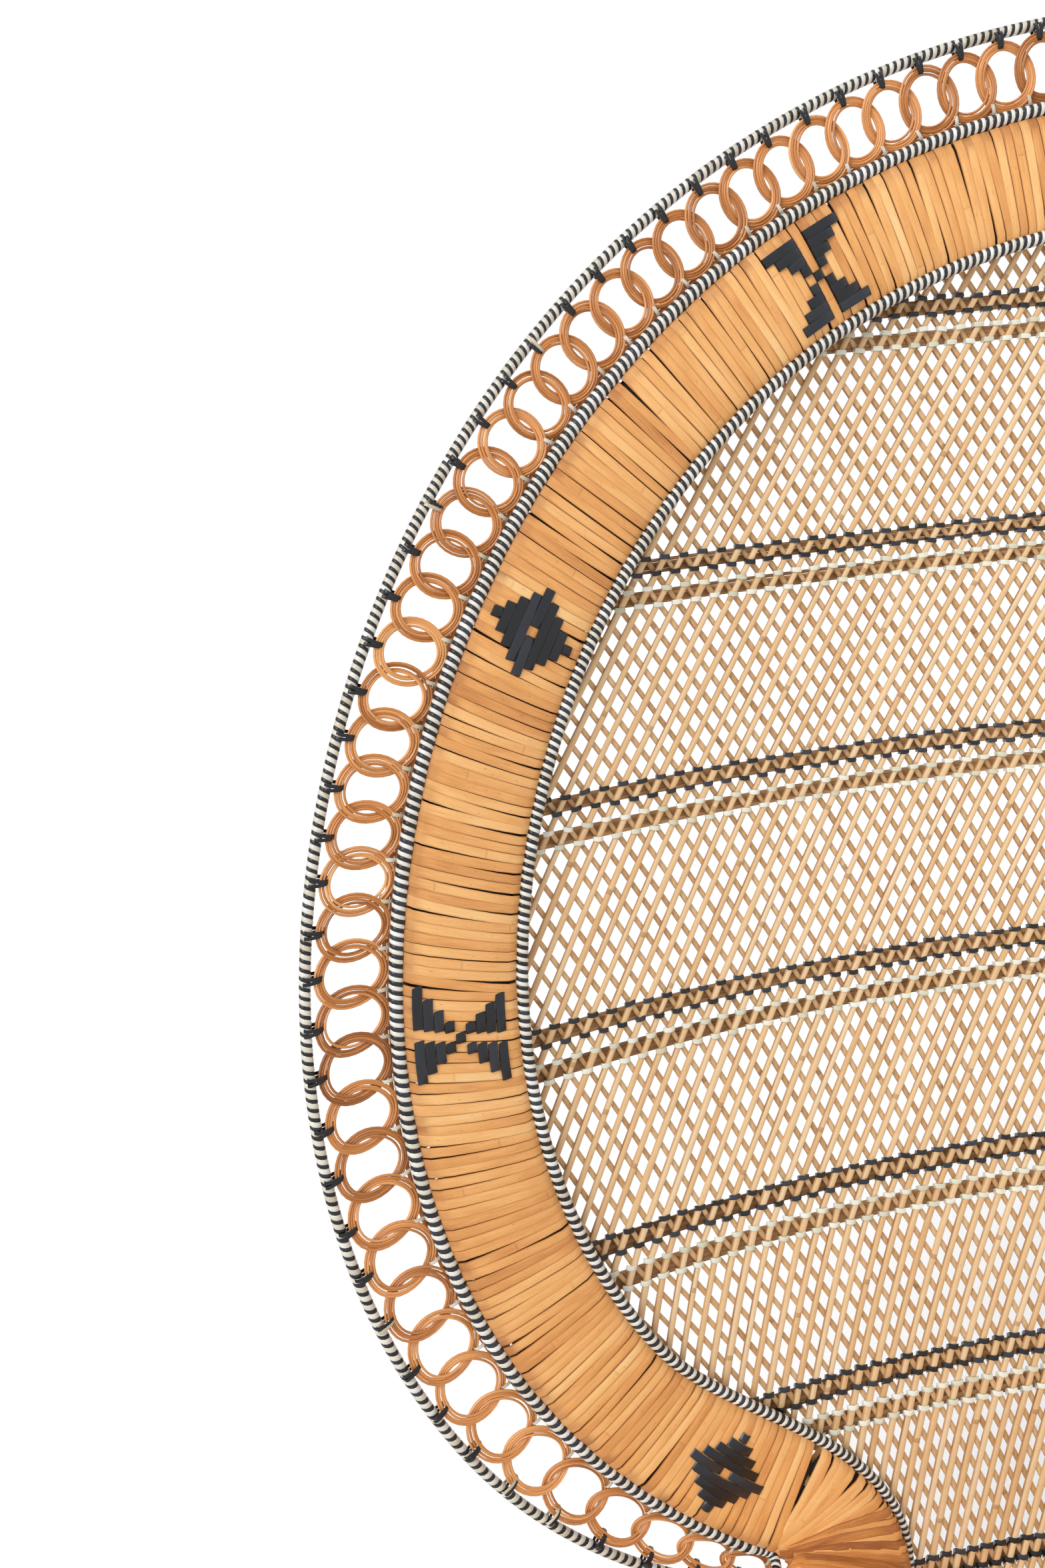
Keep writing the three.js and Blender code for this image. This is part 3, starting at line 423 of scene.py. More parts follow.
# %% Camera
camera_data = bpy.data.cameras.new("camera")
camera_data.sensor_width, camera_data.lens, camera_data.clip_start = 36, 28.37, 0.01
camera = bpy.data.objects.new("camera", camera_data)
scene.collection.objects.link(camera)
camera_place = (-0.41311, -0.75124 + fan_shift, 0.35941 + fan_centre)
yaw, pitch, roll = -0.0054, 0.3073, -0.08657
ahead_way = np.array([math.sin(yaw) * math.cos(pitch), math.cos(yaw) * math.cos(pitch), -math.sin(pitch)])
right_way = np.array([math.cos(yaw), -math.sin(yaw), 0])
up_way = np.cross(right_way, ahead_way)
turned_right = math.cos(roll) * right_way + math.sin(roll) * up_way
turned_up = -math.sin(roll) * right_way + math.cos(roll) * up_way
turning = Matrix([turned_right, turned_up, -ahead_way]).transposed().to_4x4()
camera.matrix_world = Matrix.Translation(camera_place) @ turning
bpy.context.scene.camera = camera

# %% [markdown]
# The floor is plain pale paper. It glows a little for the camera alone, and the world looks
# white to the camera and in reflections, while less light than that falls on the cane.

# %% Floor
scene.view_settings.view_transform = "Standard"
select_only()
bpy.ops.mesh.primitive_plane_add(size=30, location=(0, 0, 0))
floor = bpy.context.object
floor.name = "studio_floor"
paper = bpy.data.materials.new("studio_paper")
paper_tree = Tree(paper)
mottle = paper_tree.add("TexNoise", {"Vector": paper_tree.add("TexCoord").outputs["Object"], "Scale": 3})
glow = paper_tree.maths("MULTIPLY", paper_tree.add("LightPath").outputs["Is Camera Ray"], 0.12)
paper_tree.put(paper_tree.nodes["Principled BSDF"], {
    "Base Color": paper_tree.ramp(mottle.outputs["Fac"], [(0, (0.90, 0.90, 0.90)), (1, (0.93, 0.93, 0.93))]),
    "Roughness": 0.9, "Emission Color": (1, 1, 1, 1), "Emission Strength": glow,
})
floor.data.materials.append(paper)

# %% World and lamp
light_on_cane, white = 0.62, 1.0
world = bpy.data.worlds.new("studio")
scene.world = world
world_tree = Tree(world)
rays = world_tree.add("LightPath").outputs
seen = world_tree.maths("MAXIMUM", rays["Is Camera Ray"], rays["Is Glossy Ray"])
seen = world_tree.maths("MAXIMUM", seen, rays["Is Transmission Ray"])
strength = world_tree.add("Mix", {"Factor": seen, "A": light_on_cane, "B": white}, data_type="FLOAT")
world_tree.put(world_tree.nodes["Background"], {"Color": (1, 1, 1, 1), "Strength": strength.outputs["Result"]})

lamp_data = bpy.data.lights.new("soft_sun", "SUN")
lamp_data.energy, lamp_data.angle = 1.9, math.radians(35)
lamp = bpy.data.objects.new("soft_sun", lamp_data)
scene.collection.objects.link(lamp)
lamp.rotation_euler = (math.radians(48), 0, math.radians(-38))

# %% [markdown]
# ## Wound rims
# Every rim of this chair is a round core with a black and a cream strip wound side by side.
# A Screw modifier turns the outline of one black and one cream strip round the core as a
# thread. The straight thread is then bent along the rim's path, and its ends are closed.
# The turns lie close at the top of the fan and wider apart towards the arms.

# %% Wind a straight thread
def straight_thread(turns, lead, radius, cream_share):
    """One cream and one black strip, turned round the core. lead is the length of one turn."""
    outline = [(0, 0.89), (0.08, 0.98), (cream_share / 2, 1), (cream_share - 0.09, 0.98),
               (cream_share, 0.89), (cream_share + 0.09, 0.98), (0.90, 0.98), (1, 0.89)]
    mesh = bpy.data.meshes.new("thread")
    mesh.from_pydata([(radius * r, 0, lead * z) for z, r in outline], [(i, i + 1) for i in range(7)], [])
    thread = bpy.data.objects.new("thread", mesh)
    scene.collection.objects.link(thread)
    select_only(thread)
    bpy.ops.object.modifier_add(type="SCREW")
    screw = thread.modifiers[-1]
    screw.steps = screw.render_steps = 10
    screw.iterations, screw.screw_offset = turns, lead
    screw.use_merge_vertices, screw.use_normal_calculate = True, True
    bpy.ops.object.modifier_apply(modifier=screw.name)
    return thread


# %% Colour its turns
def colour_thread(mesh, lead, radius, cream_share, shade):
    """Cream and black faces, a grain that runs round the core, and one tone for each turn."""
    place = vertices_of(mesh)
    turn = np.arctan2(place[:, 1], place[:, 0]) % full_turn
    corners = np.zeros(len(mesh.loops), int)
    mesh.loops.foreach_get("vertex_index", corners)
    quads = corners.reshape(-1, 4)
    angles, heights = turn[quads], place[quads, 2]
    angles = np.where((np.ptp(angles, axis=1) > math.pi)[:, None] & (angles < 1), angles + full_turn, angles)
    phase = ((heights - angles / full_turn * lead).mean(axis=1) / lead) % 1
    mesh.materials.append(cream)
    mesh.materials.append(black)
    set_all(mesh.polygons, "material_index", phase > cream_share)
    number = np.floor(heights.mean(axis=1) / lead)
    around = angles * radius + (number * full_turn * radius)[:, None]
    set_all(mesh.uv_layers.new(name="grain").data, "uv", np.stack([around, heights], -1))
    tones = chance.normal(shade, 0.16, int(place[:, 2].max() / lead) + 3)
    turn_of = np.floor((place[:, 2] - turn / full_turn * lead) / lead + 0.5).astype(int)
    tone = mesh.attributes.new("tone", "FLOAT", "POINT")
    set_all(tone.data, "value", tones[np.clip(turn_of, 0, len(tones) - 1)])


# %% Bend it along a rim's path
def bend_thread(mesh, path, facing, closed, turn_places, lead):
    """turn_places counts the turns up to each point of the path."""
    place, run = vertices_of(mesh), run_of(path)
    turned, turns = place[:, 2] / lead, turn_places[-1]
    turned = turned % turns if closed else np.clip(turned, 0, turns)
    along = np.interp(turned, turn_places, run)
    at, side, up = (read_at(v, run, along) for v in (path, *frames(path, facing, closed)))
    set_all(mesh.vertices, "co", at + side * place[:, :1] + up * place[:, 1:2])


def close_thread():
    """Merge the seams of the active thread, fill its ends and turn its faces outwards."""
    bpy.ops.object.mode_set(mode="EDIT")
    bpy.ops.mesh.select_all(action="SELECT")
    bpy.ops.mesh.remove_doubles(threshold=1e-6)
    bpy.ops.mesh.dissolve_degenerate(threshold=1e-6)
    bpy.ops.mesh.select_all(action="DESELECT")
    bpy.ops.mesh.select_non_manifold()
    bpy.ops.mesh.fill_holes(sides=0)
    bpy.ops.mesh.select_all(action="SELECT")
    bpy.ops.mesh.normals_make_consistent(inside=False)
    bpy.ops.object.mode_set(mode="OBJECT")


def wound_rim(name, paths, diameter, pitch, nodes, closed=False, cream_share=0.49, tone=0.6):
    """paths is a list of (points, facing). cream_share is the cream strip's share of one turn."""
    threads = []
    for path, facing in paths:
        steps = np.linalg.norm(np.diff(path, axis=0), axis=1)
        turn_places = np.concatenate([[0], np.cumsum(steps / np.broadcast_to(pitch, len(path))[:-1])])
        turns = round(turn_places[-1])
        turn_places *= turns / turn_places[-1]
        lead = steps.sum() / turns
        thread = straight_thread(turns, lead, diameter / 2, cream_share)
        colour_thread(thread.data, lead, diameter / 2, cream_share, tone)
        bend_thread(thread.data, path, facing, closed, turn_places, lead)
        close_thread()
        threads.append(thread)
    select_only(*threads)
    if len(threads) > 1:
        bpy.ops.object.join()
    rim = threads[0]
    rim.name = rim.data.name = name
    finish_piece(rim, nodes)


# %% Outer and mid rims of the fan
thin_rim, mid_rim, inner_rim = 7 * mm, 8.6 * mm, 8.2 * mm
rim_angles = np.linspace(-rim_end, rim_end, 361)
rim_pitch = np.interp(np.abs(rim_angles), [0.7, 0.95, 1.5, 2.05], np.array([4.9, 4.4, 5.2, 7.0]) * mm)


def on_fan(path):
    """A rim's path on the shell with its facing directions, as wound_rim takes them."""
    return [(path, fan_facing(path[:, 0]))]


outer_path = circle_at(rim_angles, outer_radius_at(rim_angles), -8.1 * mm)
# Painted shade: the outer rim's winding gets a lower tone than the other rims, so its cream looks as if in shadow.
wound_rim("outer_rim_winding", on_fan(outer_path), thin_rim, rim_pitch, both_sides("outer_rim"),
          cream_share=0.56, tone=0.42)
mid_path = circle_at(rim_angles * (band_end - 0.015) / rim_end, mid_radius, 1 * mm)
wound_rim("mid_rim_winding", on_fan(mid_path), mid_rim, rim_pitch * 0.98, both_sides("mid_rim"))

# %% [markdown]
# The inner rim leaves its circle low down, bends in to the neck and runs down to the seat.
# The same outline, moved out a little, is the edge of the lattice.

# %% Outline of the inner rim
foot_level = (412.6 - 1008) * mm
neck_angle = 12 * step_angle
neck_corner, neck_pull_out, neck_pull_up = (193 * mm, -446 * mm), 86 * mm, 96 * mm
on_circle, on_bend, on_straight = 90, 29, 10


def fan_outline(offset):
    """Right half of the outline, from the top down, as (x, level)."""
    radius = inner_radius + offset
    angles = np.linspace(0, neck_angle, on_circle)
    circle = np.stack([radius * np.sin(angles), radius * np.cos(angles)], -1)
    end = np.array(neck_corner) + [offset, 0]
    away = np.array([math.cos(neck_angle), -math.sin(neck_angle)]) * neck_pull_out
    pulls = (circle[-1], circle[-1] + away, end + [0, neck_pull_up], end)
    t = np.linspace(0, 1, on_bend + 1)[1:, None]
    weights = ((1 - t) ** 3, 3 * (1 - t) ** 2 * t, 3 * (1 - t) * t ** 2, t ** 3)
    bend = sum(weight * pull for weight, pull in zip(weights, pulls))
    down = np.linspace(end[1], foot_level, on_straight + 1)[1:]
    return np.vstack([circle, bend, np.stack([np.full(on_straight, end[0]), down], -1)])


def whole_outline(offset):
    right = fan_outline(offset)
    return np.vstack([right[:0:-1] * [-1, 1], right])


edge_right = fan_outline(12 * mm)


def edge_half_width(level):
    """Half the width of the lattice at a level."""
    return np.interp(-np.asarray(level), -edge_right[:, 1], edge_right[:, 0])


# %% Inner rim
rim_outline = whole_outline(0)
fall = np.clip((np.arange(len(edge_right)) - on_circle + 1) / on_bend, 0, 1)
rim_ahead = (2.6 - 6.4 * np.concatenate([fall[:0:-1], fall])) * mm
inner_path = fan_at(rim_outline[:, 0], rim_outline[:, 1], rim_ahead)
around_fan = np.abs(np.arctan2(rim_outline[:, 0], rim_outline[:, 1]))
inner_pitch = np.interp(around_fan, [0.7, 0.95, 1.5, 2.0, 2.4, 2.7],
                        np.array([4.9, 4.4, 4.9, 6.0, 6.0, 5.0]) * mm)
wound_rim("inner_rim_winding", on_fan(inner_path), inner_rim, inner_pitch, both_sides("inner_rim"))

# %% [markdown]
# ## The wrapped band
# Between the mid and inner rims flat honey cane is wrapped side by side round two hidden
# frame poles. Each strip is one turn: straight across the front, round the edges, and
# slanting by one strip on the back. Black strips are woven in as small squares that make
# hourglasses and diamonds, a traditional pattern. A dark core, painted shade, closes the gaps between strips.

# %% Section of the band and one turn of strip
band_low, band_high = 431.8 * mm, 495.4 * mm
band_middle, band_half = (band_low + band_high) / 2, (band_high - band_low) / 2
band_crown = 6.3 * mm
strip_thickness, strip_jitter, strip_spread = 1.3 * mm, 0.03, 0.09
core_gap, edge_gap = 1.5 * mm, 3.8 * mm
turn_shares = np.array([
    (-1.0, -0.05), (-0.98, 0.42), (-0.86, 0.74), (-0.55, 0.92), (0.0, 1.0), (0.55, 0.92), (0.86, 0.74),
    (0.98, 0.42), (1.0, -0.05), (0.95, -0.5), (0.6, -0.88), (0.0, -0.98), (-0.6, -0.88), (-0.95, -0.5),
    (-1.0, -0.05),
])
slant_shares = np.concatenate([np.zeros(9), np.linspace(0, 1, 7)[1:]])
strip_turn = master("flat", len(turn_shares) - 1, ends=False)

# %% Places of the strips
fine_angles = np.linspace(0, band_end, 800)
strip_widths = np.interp(fine_angles, [1.3, 2.45], np.array([5.68, 7.3]) * mm) / band_middle
strip_counts = np.concatenate([[0], np.cumsum(np.diff(fine_angles) / strip_widths[1:])])
half_strips = round(strip_counts[-1])
strip_counts *= half_strips / strip_counts[-1]
strip_ids = np.arange(-half_strips, half_strips)
print("strips of the band:", len(strip_ids))


def strip_place(number):
    """Angle of a strip, whose numbers run both ways from the top."""
    number = np.asarray(number, float)
    inside = np.interp(np.abs(number), strip_counts, fine_angles)
    return np.sign(number) * (inside + np.maximum(0, np.abs(number) - half_strips) * strip_widths[-1])


def strip_slant(angle):
    """How far a strip's inner end lies ahead of its outer end, in radians; near the arms it lies behind."""
    places = [0.1, 0.85, 1.06, 1.2, 1.35, 1.57, 1.8, 1.95, 2.05, 2.2, 2.32, 2.44]
    slants = np.array([0, 1, 9, 11, 15, 22, 21, 8, 0, 0, -6, -14]) * 0.001
    return np.sign(angle) * np.interp(np.abs(angle), places, slants)


def band_low_at(angle):
    """The inner edge keeps to the inner rim where that leaves its circle for the neck."""
    outline = fan_outline(edge_gap)[:on_circle + on_bend]
    around, radius = np.arctan2(outline[:, 0], outline[:, 1]), np.hypot(outline[:, 0], outline[:, 1])
    return np.interp(np.abs(angle), around, radius)


# %% Wrap the fan's band
section_way = np.gradient(np.concatenate([turn_shares, turn_shares[1:2]]) * [band_half, 7 * mm], axis=0)[:-1]
section_way[0] = section_way[-1]
normals = unit(np.stack([-section_way[:, 1], section_way[:, 0]], -1))
normals = np.where((normals * turn_shares).sum(1, keepdims=True) < 0, -normals, normals)


def band_places(angles, proud):
    """Places, widths and facings of strips round the band, for arrays of angles (strips, stations)."""
    inward = band_middle - band_low_at(angles)
    radius = band_middle + turn_shares[:, 0] * np.where(turn_shares[:, 0] < 0, inward, band_half)
    radius = radius + normals[:, 0] * proud
    at = circle_at(angles, radius, turn_shares[:, 1] * band_crown + normals[:, 1] * proud)
    probe = 1e-4
    along = (circle_at(angles + probe, radius) - circle_at(angles - probe, radius)) / (2 * probe)
    outward = unit(circle_at(angles, radius + probe) - circle_at(angles, radius - probe))
    return at, along, outward * normals[:, :1] + fan_facing(at[..., 0]) * normals[:, 1:]


one_each = (len(strip_ids), 1)
fan_out = chance.normal(0, strip_spread, one_each) * turn_shares[None, :, 0]
jitter = chance.normal(0, strip_jitter, one_each)
numbers = strip_ids[:, None] + 0.5 + jitter + slant_shares[None] + fan_out
angles = strip_place(numbers)
angles = angles - strip_slant(angles) * turn_shares[None, :, 0]
at, along, facing = band_places(angles, chance.uniform(0.7, 1.2, one_each) * mm)
strip_tones = np.clip(chance.normal(0.56, 0.10, len(strip_ids)), 0.1, 0.98)
broad = (strip_place(strip_ids + 1) - strip_place(strip_ids)) * chance.uniform(0.91, 1.01, len(strip_ids))
# Painted shadow: the strips darken towards the mid rim and, less, towards the inner rim, where the rims shade the
# band.
rim_shadow = np.interp(turn_shares[:, 0], [-1, -0.98, -0.86, 0.55, 0.86, 0.98], [0.7, 0.6, 0, 0, 0.9, 1])
band = Bundle()
band.lay(strip_turn, at, along * broad[:, None, None], facing * strip_thickness, strip_tones, station_shade=rim_shadow)

# %% [markdown]
# A black strip runs along the band in each row of a pattern, over some strips and under the
# next, so that it shows as squares. Rows and columns are counted from the pattern's middle,
# and a pattern gives the runs of columns that show in a row. The ends of a run dip in under
# the neighbouring strips.

# %% Patterns of squares
def hourglass(row):
    return [(-row, -1), (1, row)] if row else [(0, 0)]


def diamond(row):
    return [(row - 4, 4 - row)] if row else [(-4, -1), (1, 4)]


def crown_at(angle, radius):
    """Height of the band's crowned front."""
    inward = (band_middle - radius) / (band_middle - band_low_at(angle))
    share = np.maximum((radius - band_middle) / band_half, inward)
    return band_crown * np.interp(share, [0, 0.55, 0.86, 0.98, 1], [1, 0.92, 0.74, 0.42, 0]) + 0.7 * mm


# %% Weave the squares
row_height, square_width = 5.85 * mm, 5.9 * mm
square_lift = np.array([-0.9, 1.3, 2.1, 2.5, 2.1, 1.3, -0.9]) * mm


def woven_run(centre, middle, row, first, last, tone):
    """A strip along the band over columns first to last, its ends tucked under their neighbours."""
    low, high = centre + first - 0.62, centre + last + 0.62
    tuck = 0.12 / (high - low) + 0.03
    angle = strip_place(low + (high - low) * np.array([0, tuck, 0.3, 0.5, 0.7, 1 - tuck, 1]))
    angle = angle - strip_slant(angle) * row * row_height / band_half
    radius = np.full(7, middle + row * row_height)
    at = circle_at(angle, radius, crown_at(angle, radius) + square_lift)
    slope = (crown_at(angle, radius + 2 * mm) - crown_at(angle, radius - 2 * mm)) / (4 * mm)
    out = unit(circle_at(angle, radius + mm) - circle_at(angle, radius - mm))
    face = fan_facing(at[:, 0])
    side, up = unit(out + face * slope[:, None]), unit(face - out * slope[:, None])
    band.lay(master("flat", 6), at, side * square_width, up * strip_thickness, tone, look=1)


for degrees, middle, pattern in ((27.8, 463.1, hourglass), (60.5, 463.6, diamond),
                                 (89.0, 464.6, hourglass), (135.2, 459.5, diamond)):
    column = math.floor(np.interp(math.radians(degrees), fine_angles, strip_counts)) + 0.5
    for hand in (-1, 1):
        for row in range(4, -5, -1):
            for first, last in pattern(abs(row)):
                woven_run(hand * column, middle * mm, row, first, last, chance.uniform(0.2, 0.8))
band.piece("fan_band_strips", [honey, black], both_sides("fan_band"), "honey_cane")

# %% The dark core under the strips: painted shade
core_angles = np.linspace(-band_end, band_end, 121)
core_path = circle_at(core_angles, band_middle, 0)
core_out = unit(circle_at(core_angles, band_high) - circle_at(core_angles, band_low))
core_band = Bundle()
core_band.lay(master("round", 120, sides=12), core_path, core_out * (2 * band_half - core_gap),
              fan_facing(core_path[:, 0]) * 11.4 * mm)
core_band.piece("fan_band_core", [core])

# %% [markdown]
# ## Chain of rings
# Between the outer and mid rims hangs a chain of interlinked rings. Each ring is a flat bundle
# of four thin brown canes. A ring passes over its neighbour on the outer side and under it on
# the inner side, so its height follows a sine with two waves per turn. The rings are nearly
# round at the top of the fan and stretch along the rim towards the arms.

# %% Places of the rings
chain_end, ring_overlap, below_outer, above_mid = 2.47, 13.2 * mm, 4.6 * mm, 3.3 * mm


def ring_places():
    """Angle, radius, half height and half length of each ring on the right side."""
    places, angle = [], 0.0
    while angle < chain_end:
        pitch = np.interp(angle, [1.4, 2.2, 2.37, chain_end], np.array([25.1, 40.6, 38, 30]) * mm)
        high = outer_radius_at(angle + pitch / mid_radius) - below_outer
        low = mid_radius + above_mid
        radius = (high + low) / 2
        angle += pitch / 2 / radius
        places.append((angle, radius, (high - low) / 2, (pitch + ring_overlap) / 2))
        angle += pitch / 2 / radius
    return np.array(places)


rings = ring_places()
rings = np.vstack([rings * [-1, 1, 1, 1], rings])
print("rings:", len(rings), "smallest", round(rings[:, 2].min() / mm, 1), "mm in radius")

# %% Bend the ring canes
ring_ahead, ring_wave = -5.2 * mm, 1.5 * mm
ring_cane_width, ring_cane_height, first_inward, cane_step = 1.66 * mm, 1.9 * mm, 0.85, 1.48
turn = np.linspace(0, full_turn, 33)
rows = []
for ring_angle, ring_radius, ring_size, ring_long in rings:
    colour = np.clip(chance.normal(0.62, 0.10), 0.2, 0.95)
    for strand in range(4):
        inward = (first_inward + cane_step * strand) * mm + chance.normal(0, 0.1) * mm
        drift = chance.normal(0, 0.22, 2) * mm * (strand > 1)
        start = chance.uniform(0, full_turn)
        along = math.copysign(1, ring_angle) * ((ring_long - inward) * np.cos(turn) + drift[0])
        out = (ring_size - inward) * np.sin(turn) + drift[1]
        lift = ring_wave * np.sin(2 * turn) + 0.25 * mm * np.sin(3 * turn + start)
        rows.append((ring_angle + along / ring_radius, ring_radius + out, ring_ahead + lift,
                     np.clip(colour + chance.normal(0, 0.13), 0, 1)))
angle, radius, lift, tones = (np.array(v) for v in zip(*rows))
at = circle_at(angle, radius, lift)
side, up = frames(at, fan_facing(at[..., 0]), closed=True)
ring_bundle = Bundle()
ring_bundle.lay(master("round", 32, ends=False, sides=5), at, side * ring_cane_width, up * ring_cane_height, tones)
ring_bundle.piece("ring_chain_canes", [brown], both_sides("ring_chain"), "brown_cane")

# %% [markdown]
# Every ring is tied twice: with two turns of black strip to the outer rim, and with one pale
# strip to two thin brown canes, which run along behind the mid rim. A tie is a loop of flat
# strip with rounded corners, laid round what it holds.

# %% One tie
tie_turn, tie_thickness, tie_probe = np.linspace(0, full_turn, 13), 0.6 * mm, 0.001
outer_tie = dict(reach=5.2 * mm, ahead=-6.9 * mm, depth=4.2 * mm, width=2.0 * mm)
inner_tie = dict(reach=4.4 * mm, ahead=-7.4 * mm, depth=4.9 * mm, width=2.2 * mm)
ring_ties = Bundle()


def round_square(value):
    return np.sign(value) * np.abs(value) ** 0.75


def ring_tie(place, middle, skew, look, reach, ahead, depth, width):
    """A loop that reaches out and in from the middle radius, and deep to the front and back."""
    out = middle + reach * round_square(np.cos(tie_turn))
    angles = place + skew * np.cos(tie_turn) / middle
    at = circle_at(angles, out, ahead + depth * round_square(np.sin(tie_turn)))
    along = unit(circle_at(angles + tie_probe, out) - circle_at(angles - tie_probe, out))
    side, up = square_to(tangents(at, closed=True), along)
    tone = chance.uniform(0, 0.5)
    ring_ties.lay(master("flat", 12, ends=False), at, side * width, up * tie_thickness, tone, look)


# %% Ties of the rings and the canes behind
cream_ties_among_black = 0.06
for ring_angle, ring_radius, ring_size, ring_long in rings:
    shift = chance.normal(0, 0.5) * mm / mid_radius
    for skew in (-1.0 * mm, 1.0 * mm):
        is_cream = int(chance.random() < cream_ties_among_black)
        ring_tie(ring_angle + shift + skew / mid_radius, ring_radius + ring_size + 0.2 * mm, 0.6 * skew, is_cream,
                 **outer_tie)
    between = ring_angle + math.copysign(ring_long * 0.62, ring_angle) / mid_radius
    ring_tie(between + shift, mid_radius + 7.2 * mm, chance.normal(0, 0.5) * mm, 1, **inner_tie)
ring_ties.piece("ring_ties", [black, cream], (), "wound_cane")

back_canes = Bundle()
for radius in (504.6 * mm, 507.4 * mm):
    at = circle_at(np.linspace(-rim_end, rim_end, 241), radius, -10.1 * mm)
    back_canes.cane(at, fan_facing(at[:, 0]), 2.7 * mm, 2.7 * mm, chance.uniform(0.3, 0.7), sides=6)
back_canes.piece("ring_back_canes", [brown], both_sides("ring_cane"), "brown_cane")

# %% [markdown]
# ## Lattice of the back
# The back is an open lattice of straight-grained sticks: one layer leans right and lies in
# front, the other leans left behind it. The sticks cross in level rows whose spacing grows
# downwards, and the pitch narrows towards the neck, as on the solids, which hold every
# fourth stick of this net.

# %% The net of crossings
belt_rows = np.array([0, 15, 29, 42, 54, 65, 76])
belt_levels = np.array([0.786, 0.5132, 0.2512, -0.0218, -0.3092, -0.598, -0.91]) * mid_radius
row_spacings = np.array([0.0182, 0.0179, 0.019, 0.0216, 0.0248, 0.027, 0.0288]) * mid_radius
stick_numbers = np.arange(-95, 96)
stick_pitch, narrowing, narrow_below, net_shift = 12.1 * mm, 0.285, -0.36, 0.12


def row_level(row):
    """Level of a row of crossings: a smooth curve through the belts with their own spacings."""
    row = np.asarray(row, float)
    k = np.clip(np.searchsorted(belt_rows, row, side="right") - 1, 0, 5)
    span = belt_rows[k + 1] - belt_rows[k]
    u = (row - belt_rows[k]) / span
    inside = np.clip(u, 0, 1)
    ease = inside ** 2 * (3 - 2 * inside)
    bend = span * inside * (1 - inside) * (row_spacings[k] * (1 - inside) - row_spacings[k + 1] * inside)
    level = belt_levels[k] + (belt_levels[k + 1] - belt_levels[k]) * ease - bend
    return level - (np.maximum(u - 1, 0) * span * row_spacings[k + 1] + np.minimum(u, 0) * span * row_spacings[k])


def net_point(index, row, hand):
    """Place (x, level) of a crossing; hand is 1 in the front layer and -1 in the back layer."""
    level = row_level(row)
    pitch = stick_pitch * (1 - narrowing * np.maximum(0, narrow_below - level / mid_radius))
    x = pitch * (index - hand * np.asarray(row) / 2 + net_shift)
    return np.stack(np.broadcast_arrays(x, level), -1)


# %% Paths of the sticks
stick_top, stick_thickness, stick_stations, shortest = 440 * mm, 2.8 * mm, 33, 30


def stick_paths(hand):
    """Each stick is cut to the parts that lie inside the edge of the lattice."""
    rows = np.arange(-9, 97, 0.05)
    found = []
    for index in stick_numbers:
        path = net_point(index, rows, hand)
        x, level = path.T
        inside = (level > foot_level) & (np.abs(x) < edge_half_width(level)) & (level < stick_top)
        edges = np.flatnonzero(np.diff(np.concatenate([[0], inside.astype(int), [0]])))
        for first, last in edges.reshape(-1, 2):
            if last - first > shortest:
                found.append(read_at(path, np.arange(len(path)), np.linspace(first, last - 1, stick_stations)))
    return np.array(found)


def nearer_below(level):
    """Canes are picked thicker towards the foot of the back."""
    return np.interp(level, [-0.40, 0.05], [1.3, 1.0])


# %% Lay the sticks of both layers
# Painted shade: the back layer gets a lower tone than the front, for the shadow that the front sticks cast on it.
for hand, ahead, broad, shade, name in ((1, -10.6, 3.5, 0.68, "lattice_front"),
                                        (-1, -13.5, 3.0, 0.49, "lattice_back")):
    paths = stick_paths(hand)
    count = len(paths)
    one_each = (count, 1)
    waves = np.linspace(0, 1, stick_stations)[None] * chance.uniform(3, 9, one_each)
    wander = np.sin(waves + chance.uniform(0, 6, one_each))
    x = paths[..., 0] + 0.35 * mm * wander
    at = fan_at(x, paths[..., 1], ahead * mm + 0.2 * mm * wander)
    thick = chance.normal(1, 0.06, (count, 1, 1))
    wide = broad * mm * thick * nearer_below(paths[..., 1])[..., None]
    tones = np.clip(chance.normal(shade, 0.11, count), 0.1, 1)
    sticks = Bundle()
    sticks.cane(at, fan_facing(x), wide, stick_thickness * thick, tones, section="flat")
    print(name, count, "sticks")
    sticks.piece(f"{name}_sticks", [straw], [f"{name}_layer"], "straw_cane")

# %% [markdown]
# The ends of the sticks are caught behind the band between two round canes, which follow
# the edge outline. Seven belts of level canes cross behind the sticks, and each belt is tied
# to the front sticks with two rows of black strip and two rows of pale strip.

# %% Edge canes
edge_line = whole_outline(11 * mm)
edge_canes = Bundle()
for ahead in (-7.2, -17.2):
    at = spaced(fan_at(edge_line[:, 0], edge_line[:, 1], ahead * mm), 261)
    edge_canes.cane(at, fan_facing(at[:, 0]), 5 * mm, 4.4 * mm, 0.4)
end_level = foot_level + 4 * mm
end_half = edge_half_width(end_level)
for ahead in (-7.6, -18.4):
    at = fan_at(np.linspace(-end_half, end_half, 41), end_level, ahead * mm)
    edge_canes.cane(at, fan_facing(at[:, 0]), 6 * mm, 4.4 * mm, 0.4)
edge_canes.piece("lattice_edge_canes", [straw], (), "straw_cane")


# %% [markdown]
# A belt is two groups of four level canes, pressed into the rows between the crossings. They
# follow the shell as the sticks do, and sway a little, as thin cane does between its ties.

# %% Belts of level canes
def belt_drop(row):
    """The spacing of the rows at a belt, and how far its canes hang below their row, in rows."""
    level = row_level(row)
    return level - row_level(row + 1), np.interp(level, [-0.45, 0.0, 0.35], [0.6, 0.25, 0.08])


